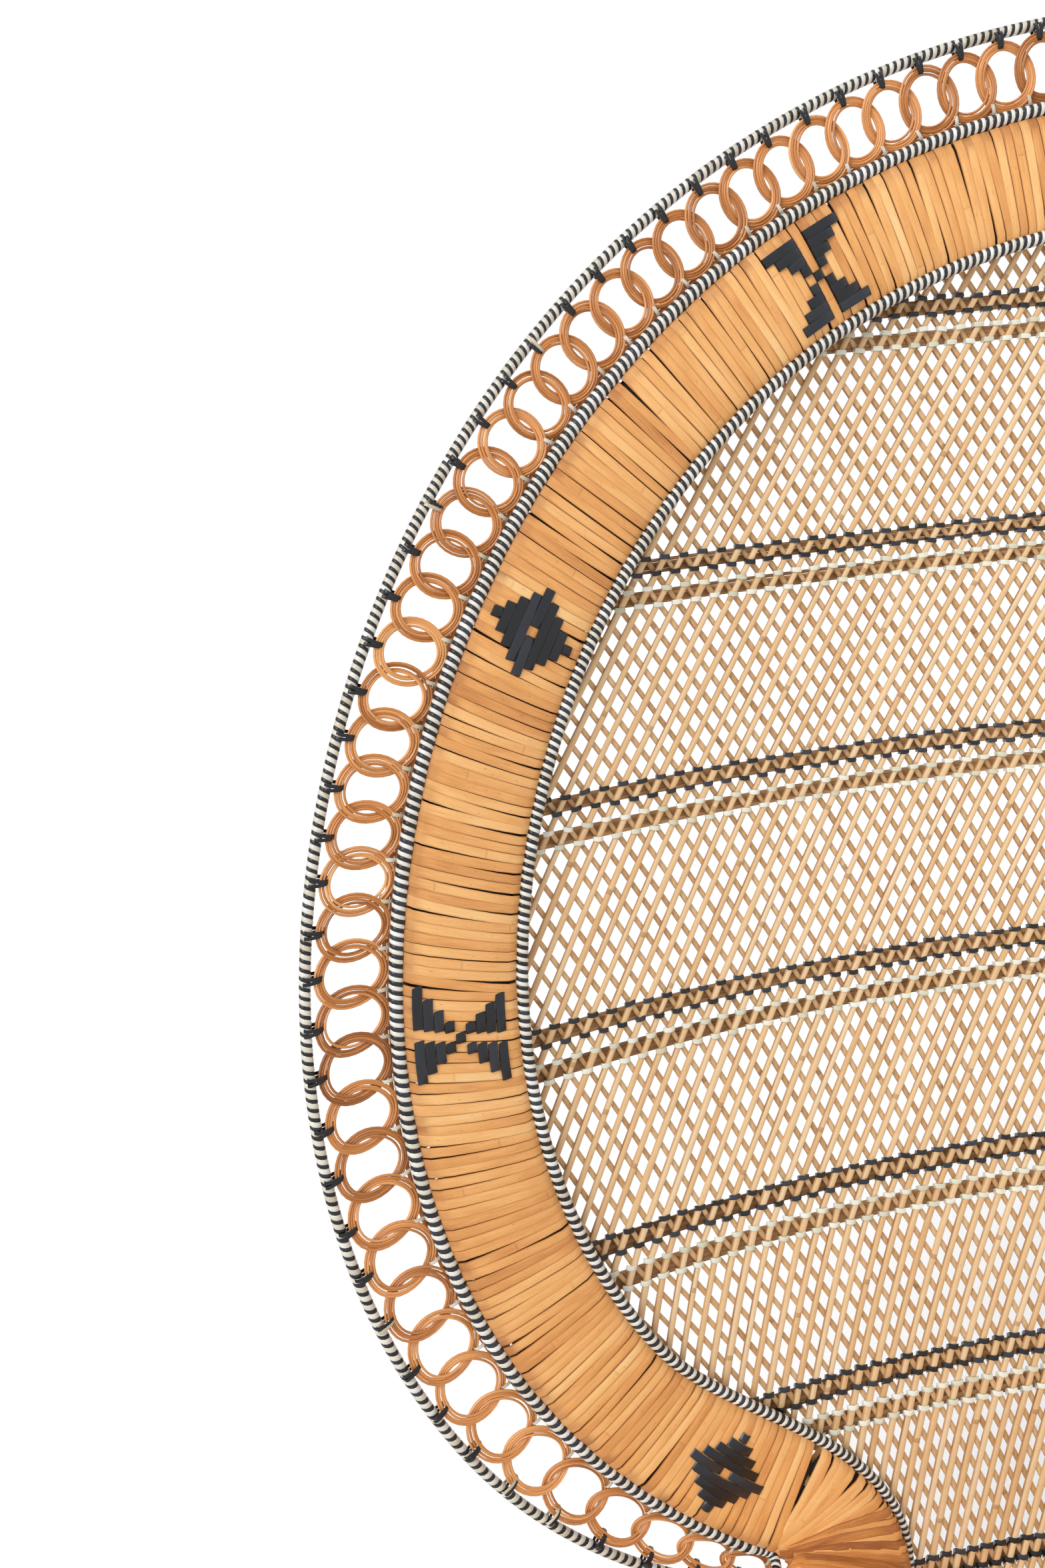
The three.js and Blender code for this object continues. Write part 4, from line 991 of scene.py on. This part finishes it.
strand_pitch, strand_size = 0.235, 0.275  # of a row's spacing
belts = Bundle()
for row in belt_rows:
    spacing, drop = belt_drop(row)
    # Painted shade: the lower belts get a darker tone, as they lie deeper in shadow.
    shade = np.interp(row_level(row), [-0.25, 0.1], [0.40, 0.62])
    for part in (0.5, 2.5):
        for strand in (-1.5, -0.5, 0.5, 1.5):
            level = row_level(row + part + drop) + strand * spacing * strand_pitch
            reach = edge_half_width(level) - 1 * mm
            x = np.linspace(-reach, reach, 61)
            sway = 0.12 * mm * np.sin(x * 30 + chance.uniform(0, 6))
            at = fan_at(x, level + sway, -16.0 * mm + chance.normal(0, 0.2) * mm)
            tone = np.clip(chance.normal(shade, 0.2), 0, 1)
            belts.cane(at, fan_facing(x), spacing * strand_size, 2.0 * mm, tone, sides=6)
belts.piece("belt_canes", [dark_cane], [f"belt_{i}" for i in range(1, 8)], "tied_cane")

# %% [markdown]
# A tie is a short arch of strip over a front stick, whose feet reach back round the level
# canes. One straight cane of six steps is bent over every crossing, a little different each
# time, as ties pulled by hand are.

# %% Ties of the belts
arch_x = np.array([[-2.1, -2.9, -2.65, 0, 2.65, 2.9, 2.1]]) * mm
arch_ahead = np.array([[-16.4, -12.5, -9.1, -8.0, -9.1, -12.5, -16.4]]) * mm
for name, offsets, look in (("belt_ties_black", (0, 1), black), ("belt_ties_pale", (2, 3), pale_tie)):
    ties = Bundle()
    for row in belt_rows:
        spacing, drop = belt_drop(row)
        for offset in offsets:
            level = row_level(row + offset)
            crossings = net_point(stick_numbers, row + offset, 1)[:, 0]
            crossings = crossings[np.abs(crossings) < edge_half_width(level) - 6 * mm]
            count = len(crossings)
            one_each = (count, 1)
            grown = nearer_below(level)
            x = crossings[:, None] + arch_x * chance.normal(1, 0.05, one_each) * grown
            tilt = np.interp(level, [-0.3, 0], [-0.24, -0.06])
            rise = chance.normal(0, 0.35, one_each) * mm + arch_x * chance.normal(tilt, 0.08, one_each)
            rise = rise - np.interp(-arch_ahead, [9.5 * mm, 16 * mm], [0, 1.1]) * spacing * drop
            at = fan_at(x, level + rise, arch_ahead + chance.normal(0, 0.15, one_each) * mm)
            side, up = square_to(tangents(at), np.array([0, fan_lean, 1]))
            ties.lay(master("round", 6, sides=6), at, side * 3.3 * mm * grown, up * 1.2 * mm,
                     chance.uniform(0.1, 1, count))
    ties.piece(name, [look], (), "tied_cane")

# %% [markdown]
# ## Knuckles and arms
# At its lower end the wrapped band turns forward and becomes the arm: the same flat honey
# cane goes on round a thicker roll. Where it turns, the strips crowd together at the end of
# the mid rim and fan out along the inner rim down to the neck. So the roll is drawn by its
# two edges, one short and one long, and the strips are spaced along the longer one.

# %% Curves through points, and the arm's line
def spline(points, closed=False):
    """A Catmull-Rom curve through the points with centripetal spacing, 40 steps from each to the next."""
    points = np.asarray(points, float)
    if closed:
        padded = np.vstack([points[-1:], points, points[:2]])
    else:
        padded = np.vstack([2 * points[0] - points[1], points, 2 * points[-1] - points[-2]])
    pieces = []
    for p0, p1, p2, p3 in zip(padded, padded[1:], padded[2:], padded[3:]):
        t0 = 0.0
        t1 = t0 + np.linalg.norm(p1 - p0) ** 0.5
        t2 = t1 + np.linalg.norm(p2 - p1) ** 0.5
        t3 = t2 + np.linalg.norm(p3 - p2) ** 0.5
        t = np.linspace(t1, t2, 40)[:, None]
        a1 = (t1 - t) / (t1 - t0) * p0 + (t - t0) / (t1 - t0) * p1
        a2 = (t2 - t) / (t2 - t1) * p1 + (t - t1) / (t2 - t1) * p2
        a3 = (t3 - t) / (t3 - t2) * p2 + (t - t2) / (t3 - t2) * p3
        b1 = (t2 - t) / (t2 - t0) * a1 + (t - t0) / (t2 - t0) * a2
        b2 = (t3 - t) / (t3 - t1) * a2 + (t - t1) / (t3 - t1) * a3
        pieces.append((t2 - t) / (t2 - t1) * b1 + (t - t1) / (t2 - t1) * b2)
    return np.vstack([piece[:-1] for piece in pieces] + ([] if closed else [points[-1:]]))


def smooth_path(points, count):
    return spaced(spline(points), count)


def mirrored(points, hand):
    """The same points for hand 1, and those of the other side for hand -1."""
    return points * [hand, 1, 1]


arm_rear = circle_at(band_end, band_middle) - np.array([16.6, 31.4, 45]) * mm
arm_knots = np.vstack([arm_rear, np.array([
    (300, -220, 602), (326, -345, 602), (304, -500, 585), (252, -600, 520), (190, -592, 413),
]) * mm + [0, fan_shift, 0]])
arm_line = smooth_path(arm_knots, 161)

# %% The roll's path, from the end of the band to the foot of the arm
arm_half_width = 41 * mm


def arm_roll():
    """Stations of the roll: places, across, facing and half sizes. Its edges turn at their own paces."""
    neck = fan_outline(edge_gap)[[105, 109, 113, 117, 118]]  # stations along the bend to the neck
    neck_edge = fan_at(neck[:, 0], neck[:, 1], 0)
    corner_angles = band_end + np.array([0, 0.012, 0.026, 0.038, 0.042])
    corner_edge = circle_at(corner_angles, band_high, np.array([0, 0, 1, 4, 9]) * mm)
    target = arm_line[18:]
    heading = tangents(target)
    side = np.cross(unit(np.cross(heading, [1.0, 0, 0])), heading)
    between = np.array([[206, -148, 580], [298, -150, 600]]) * mm + [0, fan_shift, 0]
    inner = spline(np.vstack([neck_edge, between[:1], target[:1] - side[:1] * arm_half_width]))
    outer = spline(np.vstack([corner_edge, between[1:], target[:1] + side[:1] * arm_half_width]))
    path = np.vstack([((inner + outer) / 2)[:-1], target])
    reach = np.linalg.norm(outer - inner, axis=1)[:-1] / 2
    across = np.vstack([unit(outer - inner)[:-1], side])
    face = unit(np.cross(tangents(path), across))
    face[-8:] = face[-8]
    grown = np.concatenate([np.linspace(0, 1, len(reach)) ** 2, np.ones(len(target))])
    wide = np.concatenate([reach, np.full(len(target), arm_half_width)])
    return path, across, face, np.column_stack([wide, (6.3 + 7.7 * grown) * mm])


roll_path, roll_across, roll_face, roll_halves = arm_roll()
print("arm roll:", round(run_of(roll_path)[-1], 3), "m")

# %% [markdown]
# Two poles carry the fan's shape inside the band. The inner one comes out at the neck and
# runs down beside the back, and the outer one bends forward inside the roll.

# %% Bend the frame poles
inner_pole_radius, outer_pole_radius, pole_size = 446.4 * mm, 480.8 * mm, 8 * mm
poles = Bundle()
pole_angles = np.linspace(0, band_end, 60)
beside_neck = fan_at(np.full(3, 217 * mm), np.array([-422, -454, -595.4]) * mm, np.array([0, 4, 8]) * mm)
turn_down = smooth_path(np.vstack([circle_at(band_end, inner_pole_radius), beside_neck]), 40)
inner_pole = np.vstack([circle_at(pole_angles, inner_pole_radius), turn_down[1:]])
into_roll = smooth_path(np.vstack([circle_at(pole_angles[-2], 477 * mm), roll_path[[30, 90, 150, 210]]]), 60)
outer_pole = np.vstack([circle_at(pole_angles[:-2], outer_pole_radius), into_roll, roll_path[212:]])
for hand in (-1, 1):
    for path in (inner_pole, outer_pole):
        poles.cane(spaced(mirrored(path, hand), 121), [0.2, -0.9, 0.3], pole_size, pole_size, 0.4)
poles.piece("frame_poles_bent", [straw], both_sides("inner_frame_pole") + both_sides("outer_frame_pole"),
            "straw_cane")

# %% [markdown]
# The roll is wrapped like the band. Over its turn lies a second layer, whose strips slant
# the other way, as where a new length of cane starts.

# %% Wrap any band-like path
wrap_thickness = 1.2 * mm


def at_place(values, place):
    """Rows read at fractional places."""
    low = np.clip(np.floor(place).astype(int), 0, len(values) - 2)
    part = (place - low)[..., None]
    return values[low] * (1 - part) + values[low + 1] * part


def wrap_path(bundle, path, across, face, halves, strip, closed=False, tone=(0.56, 0.10), slant=0,
              proud=0.6, loose=1):
    """Strips side by side round a path. halves are the section's half sizes across and facing."""
    halves = np.broadcast_to(halves, (len(path), 2))
    edges = [path + across * halves[:, :1] * hand for hand in (-1, 1)]
    steps = np.max([np.linalg.norm(np.diff(edge, axis=0), axis=1) for edge in edges], axis=0)
    run = np.concatenate([[0], np.cumsum(steps)])
    count = round(run[-1] / strip)
    numbers = np.arange(count)[:, None] + 0.5 + chance.normal(0, strip_jitter, (count, 1)) + slant_shares[None]
    spread = slant + loose * chance.normal(0, strip_spread, (count, 1))
    wanted = (numbers + spread * turn_shares[None, :, 0]) * run[-1] / count
    wanted = wanted % run[-1] if closed else np.clip(wanted, 0, run[-1])
    place = np.interp(wanted, run, np.arange(len(run)))
    at, side, up, half = (at_place(v, place) for v in (path, across, face, halves))
    normal = unit(turn_shares[None] / half)
    out = side * normal[..., :1] + up * normal[..., 1:]
    at = at + side * turn_shares[None, :, :1] * half[..., :1] + up * turn_shares[None, :, 1:] * half[..., 1:]
    at = at + out * (proud + chance.uniform(0, 0.4, (count, 1, 1))) * mm
    loop = tangents(at)
    along = unit(np.cross(out, loop))
    broad = strip * chance.uniform(0.95, 1.05, (count, 1, 1))
    tones = np.clip(chance.normal(*tone, count), 0.05, 0.98)
    bundle.lay(strip_turn, at, along * broad, np.cross(loop, along) * wrap_thickness, tones)
    return count


def fill_core(bundle, path, across, face, halves, count):
    """A dark body of painted shade just under the strips, which closes the slits between them."""
    halves = np.broadcast_to(halves, (len(path), 2))
    picks = np.linspace(0, len(path) - 1, count + 1)
    path, across, face, half = (at_place(v, picks) for v in (path, across, face, halves))
    bundle.lay(master("round", count, sides=12), path, across * (2 * half[:, :1] - core_gap),
               face * (2 * half[:, 1:] - core_gap))


# %% Wrap the arms
arms, arm_cores = Bundle(), Bundle()
for hand in (-1, 1):
    route = [mirrored(v, hand) for v in (roll_path, roll_across, roll_face)] + [roll_halves]
    turn_route, arm_route, layer_route, core_route = (
        [v[part] for v in route] for part in (slice(100), slice(99, None), slice(60, 185), slice(3, -2)))
    strips = wrap_path(arms, *turn_route, 5.6 * mm, tone=(0.50, 0.16), slant=0.5, loose=3)
    strips += wrap_path(arms, *arm_route, 5.8 * mm)
    wrap_path(arms, *layer_route, 6.4 * mm, tone=(0.30, 0.16), slant=-2.2, proud=1.7, loose=4)
    fill_core(arm_cores, *core_route, 110)
print("arm strips:", strips, "on each side")
arms.piece("arm_strips", [honey], both_sides("arm_band"), "honey_cane")
arm_cores.piece("arm_cores", [core])

# %% [markdown]
# Each arm is edged with two wound rims. The outer one carries on from the end of the mid
# rim, turns sharply with the knuckle and follows the arm; the inner one starts at the neck.

# %% Rims of the arms
trim_reach = roll_halves[:, :1] + 4.4 * mm
outer_edge = roll_path + roll_across * trim_reach
inner_edge = roll_path - roll_across * trim_reach + roll_face * 1 * mm
lead_in = circle_at(np.array([band_end - 0.02, band_end + 0.02]), mid_radius, 1 * mm)
corner = smooth_path(np.vstack([lead_in, outer_edge[[190, 215, 240]]]), 60)
outer_edge = spaced(np.vstack([corner, outer_edge[242:]]), 161)
inner_edge = spaced(inner_edge[168:], 161)
for name, edge in (("arm_outer_rim", outer_edge), ("arm_inner_rim", inner_edge)):
    routes = [(mirrored(edge, hand), np.array([0, -0.5, 0.85])) for hand in (-1, 1)]
    wound_rim(f"{name}_winding", routes, thin_rim, 5.0 * mm, both_sides(name))

# %% [markdown]
# ## Side lattices
# Under each arm an open lattice of sticks runs from the apron up to the arm, again one layer
# leaning each way, between a low and a high cane. The solids hold every third stick.

# %% Outline of the tub wall
wall_centre = np.array([0, -363, 0]) * mm + [0, fan_shift, 0]
wall_half_width, wall_half_depth = 270 * mm, 274 * mm
wall_shares = np.array([(0, 1), (0.37, 0.985), (0.72, 0.925), (0.93, 0.66), (1, 0.2), (0.985, -0.2),
                        (0.85, -0.62), (0.5, -0.9), (0, -1)])
wall_shares = np.vstack([wall_shares, wall_shares[-2:0:-1] * [-1, 1]])
wall_knots = np.column_stack([wall_shares * [wall_half_width, wall_half_depth], np.zeros(16)]) + wall_centre
wall_line = looped(spline(wall_knots, closed=True))
wall_way = tangents(wall_line, closed=True)
wall_out = np.column_stack([-wall_way[:, 1], wall_way[:, 0], wall_way[:, 2]])


def wall_at(share, offset, height):
    """Place on the wall's outline: share 0 is the rear, and offset moves it outward."""
    place = np.asarray(share) % 1 * (len(wall_line) - 1)
    return at_place(wall_line + wall_out * offset, place) + [0, 0, height]


def wall_loop(offset, height, count=240):
    """The whole outline as a closed path."""
    return wall_at(np.arange(count + 1) / count, offset, height)


# %% Feet and heads of the side sticks
arm_spline = spline(arm_knots)
arm_way = tangents(arm_spline)
arm_up = unit(np.cross(arm_way, [1.0, 0, 0]))
arm_side = np.cross(arm_up, arm_way)
foot_start, foot_share, foot_height = 0.335, 0.355, 415.6 * mm
head_start, head_share, head_drop = 0.03, 0.77, 21 * mm


def side_foot(share, offset):
    """Where a stick stands on the apron; share runs from the rear of the side to its front."""
    return wall_at((foot_start + foot_share * share) / 2, offset, foot_height)


def side_head(share, offset):
    """Where a stick meets the arm, just under the roll."""
    place = (head_start + head_share * share) * (len(arm_spline) - 1)
    return at_place(arm_spline, place) - at_place(arm_up, place) * head_drop + at_place(arm_side, place) * offset


# %% Sticks and rails of the side lattices
side_count, side_lean, side_cane = 33, 4.5, 3.8 * mm
side_numbers = np.arange(side_lean, side_count - side_lean + 0.1)


def straight_between(low, high, steps):
    """Straight paths from each low place to its high place."""
    rise = np.linspace(0, 1, steps + 1)[None, :, None]
    return low[:, None] * (1 - rise) + high[:, None] * rise


for lean, offset, name in ((1, 2.4 * mm, "outer"), (-1, -1.4 * mm, "inner")):
    side_sticks = Bundle()
    for hand in (-1, 1):
        feet = side_foot((side_numbers - lean * side_lean) / side_count, offset)
        heads = side_head((side_numbers + lean * side_lean) / side_count, offset)
        at = mirrored(straight_between(feet, heads, 12), hand)
        sizes = side_cane * chance.normal(1, 0.05, (len(side_numbers), 1, 1))
        tones = np.clip(chance.normal(0.6, 0.12, len(side_numbers)), 0.1, 1)
        side_sticks.cane(at, unit(at - wall_centre) * [1, 1, 0], sizes, 3.4 * mm, tones)
        for place, thick in ((side_foot, 5.6), (side_head, 5.0)):
            rail = mirrored(place(np.linspace(0, 1, 81), offset), hand)
            side_sticks.cane(rail, [0, 0, 1], side_cane, thick * mm)
    side_sticks.piece(f"side_lattice_{name}", [straw], both_sides(f"side_sticks_{name}"), "straw_cane")

# %% [markdown]
# ## Seat and apron
# The seat is a rounded D: a bent pole carries it, two flat poles cross below, and flat cane
# is woven over and under in both directions. Round the seat runs an apron, a wrapped band
# between two wound rims. The photograph ends above the seat, so all of this follows the
# usual build of such chairs.

# %% Wrap the apron and wind its rims
upward = np.array([0, 0, 1.0])


def wrapped_hoop(name, node, path, across, face, halves, strip, core_steps):
    """A closed band of strips with its dark core of painted shade."""
    strips, body = Bundle(), Bundle()
    wrap_path(strips, path, across, face, halves, strip, closed=True)
    fill_core(body, path, across, face, halves, core_steps)
    strips.piece(f"{name}_strips", [honey], [node], "honey_cane")
    body.piece(f"{name}_core", [core])


def closed_rim(node, path, pitch):
    wound_rim(f"{node}_winding", [(path, upward)], thin_rim, pitch, [node], closed=True)


apron_path = wall_loop(0, 376 * mm)
apron_face = at_place(wall_out, np.arange(241) / 240 * (len(wall_line) - 1))
wrapped_hoop("apron", "apron_band", apron_path, np.broadcast_to(upward, apron_path.shape), apron_face,
             np.array([28.2, 5.4]) * mm, 6.2 * mm, 160)
for name, height in (("apron_top_rim", 408.8 * mm), ("apron_bottom_rim", 343.2 * mm)):
    closed_rim(name, wall_loop(0, height, 360), 5.2 * mm)

# %% [markdown]
# The seat hangs on thick round poles. The hoop is one straight master laid round the wall's
# outline, and two flatter bars cross below from side to side. A bar ends where the rounded
# outline does, so its points are tested against that outline first.

# %% Bent poles
def pole(name, path, wide, high, nodes, closed=True, tone=0.45, steps=200):
    """A thick pole bent along a path; a closed hoop meets itself in one joint."""
    path = spaced(path, steps + 1)
    side, up = frames(path, upward)
    if closed:
        side[[0, -1]], up[[0, -1]] = unit(side[0] + side[-1]), unit(up[0] + up[-1])
    bent = Bundle()
    bent.lay(master("round", steps, sides=16), path, side * wide, up * high, tone)
    bent.piece(name, [straw], nodes, "straw_cane")


pole("seat_hoop_pole", wall_loop(-17.5 * mm, 394 * mm), 22 * mm, 22 * mm, ["seat_hoop"])


# %% Inside of the seat
seat_edge = wall_loop(-29.5 * mm, 0, 120)[:, :2]


def inside_seat(x, y):
    """True where a place lies inside the seat's rounded outline."""
    ahead = np.diff(seat_edge, axis=0)
    gap = np.stack([x, y], -1)[..., None, :] - seat_edge[:-1]
    return np.all(ahead[:, 0] * gap[..., 1] - ahead[:, 1] * gap[..., 0] < 0, axis=-1)


for name, y in (("front", -468 * mm), ("rear", -258 * mm)):
    x = np.linspace(-0.27, 0.27, 541)
    x = x[inside_seat(x, np.full(541, y + fan_shift))]
    bar = np.column_stack([x, np.full(len(x), y + fan_shift), np.full(len(x), 390.2 * mm)])
    pole(f"seat_bar_{name}_pole", bar, 22 * mm, 15 * mm, [f"seat_bar_{name}"], closed=False, steps=40)

# %% [markdown]
# The seat is a plain weave: each strip passes over one strip and under the next. A strip is a
# path with a point at each crossing, lifted and lowered by turns, and cut to the outline.

# %% Weave the seat
weave_pitch, weave_strip, weave_level, weave_wave = 9.4 * mm, 8.7 * mm, 401.4 * mm, 0.9 * mm
lines = np.arange(-30, 31)
weave = Bundle()
for way in (0, 1):
    for line in lines:
        fixed, moving = np.full(len(lines), line * weave_pitch), lines * weave_pitch
        x, y = (moving, fixed) if way == 0 else (fixed, moving)
        picked = np.flatnonzero(inside_seat(x, y + wall_centre[1]))
        if len(picked) < 4:
            continue
        over = np.where((picked + line + way) % 2 == 0, 1.0, -1.0)
        at = np.column_stack([x[picked], y[picked] + wall_centre[1], weave_level + weave_wave * over])
        tone = np.clip(chance.normal(0.58, 0.10), 0.1, 0.95)
        weave.cane(at, upward, weave_strip, 1.1 * mm, tone, section="flat")
weave.piece("seat_weave_strips", [honey], ["seat_weave"], "honey_cane")

# %% [markdown]
# ## Hourglass foot
# The foot stands on a bent ring. Two layers of straight sticks run from it to a hoop under
# the seat, each turned by a fifth of a circle, and so they draw the hourglass. Eight bent
# poles stand inside and carry the weight. A wrapped hoop ties the waist and a sloping
# wrapped band closes the bottom, both between wound rims.

# %% Circles about the foot's axis
foot_axis = np.array([0, -360 * mm + fan_shift, 0])


def foot_at(angle, radius, height):
    return foot_axis + np.stack(np.broadcast_arrays(radius * np.sin(angle), -radius * np.cos(angle), height), -1)


def foot_circle(radius, height, count=240):
    return looped(foot_at(np.arange(count) / count * full_turn, radius, height))


def from_axis(place):
    return (place - foot_axis) * [1, 1, 0]


pole("foot_ring_pole", foot_circle(247 * mm, 11 * mm), 30 * mm, 21.8 * mm, ["foot_ring"], tone=0.35)
pole("base_top_hoop_pole", foot_circle(247 * mm, 372.7 * mm), 29.5 * mm, 20 * mm, ["base_top_hoop"])

# %% [markdown]
# Every stick of the hourglass is straight: only their lean draws the waist. The two layers
# lean opposite ways, and each holds a level cane at its foot and one at its head.

# %% Sticks of the foot
base_low, base_high, waist = 22.5 * mm, 362.2 * mm, 192.35 * mm
foot_count, foot_lean = 96, 5 / 24 * full_turn
for lean, radius, name in ((1, 255.6 * mm, "outer"), (-1, 251.2 * mm, "inner")):
    angles = np.arange(foot_count) / foot_count * full_turn + chance.normal(0, 0.002, foot_count)
    low, high = foot_at(angles, radius, base_low), foot_at(angles + lean * foot_lean, radius, base_high)
    at = straight_between(low, high, 16)
    foot_sticks = Bundle()
    foot_sticks.cane(at, from_axis(at), 4.2 * mm, 3.4 * mm, np.clip(chance.normal(0.58, 0.12, foot_count), 0.1, 1))
    for height in (base_low + 2.6 * mm, base_high - 2.6 * mm):
        foot_sticks.cane(foot_circle(radius, height), upward, 4.6 * mm, 5 * mm)
    foot_sticks.piece(f"foot_sticks_{name}", [straw], [f"base_sticks_{name}"], "straw_cane")

# %% [markdown]
# The poles stay just inside the sticks all the way up. Leaning sticks draw a hyperbola, so
# the poles are bent along one too, a little nearer to the axis.

# %% The eight poles inside
waist_reach, flare, pole_offset, foot_pole = 199.9 * mm, 153.4 / 170.05, 21.45 * mm, 17.5 * mm
heights = np.linspace(base_low, base_high, 41)
reach = np.hypot(waist_reach, flare * (heights - waist)) - pole_offset
foot_poles = Bundle()
for number in range(8):
    path = foot_at((number + 0.5) / 8 * full_turn, reach, heights)
    foot_poles.cane(path, from_axis(path), foot_pole, foot_pole, chance.uniform(0.3, 0.6), sides=12)
foot_poles.piece("foot_poles", [straw], [f"base_pole_{i}" for i in range(1, 9)], "straw_cane")

# %% [markdown]
# The hoop at the waist and the band at the bottom are wrapped as the apron was. Each is
# given by its lower and its upper edge as (radius, height), and the lower band slopes out.

# %% Waist hoop and foot band
for name, low, high, thick in (("waist_hoop", (211.0, 174.35), (211.0, 210.35), 6.2),
                               ("foot_band", (272.4, 12.0), (240.8, 74.0), 9.2)):
    (r0, z0), (r1, z1) = low, high
    path = foot_circle((r0 + r1) / 2 * mm, (z0 + z1) / 2 * mm)
    out = unit(from_axis(path))
    length = math.hypot(r1 - r0, z1 - z0)
    across = (out * (r1 - r0) + upward * (z1 - z0)) / length
    face = (out * (z1 - z0) - upward * (r1 - r0)) / length
    wrapped_hoop(name, name, path, across, face, np.array([length / 2 - 0.8, thick / 2 - 0.4]) * mm, 6.4 * mm, 120)
for name, radius, height in (("waist_bottom_rim", 212.5, 170.6), ("waist_top_rim", 212.5, 214.1),
                             ("foot_bottom_rim", 272.4, 8.2), ("foot_top_rim", 240.8, 77.8)):
    closed_rim(name, foot_circle(radius * mm, height * mm, 360), 5.4 * mm)
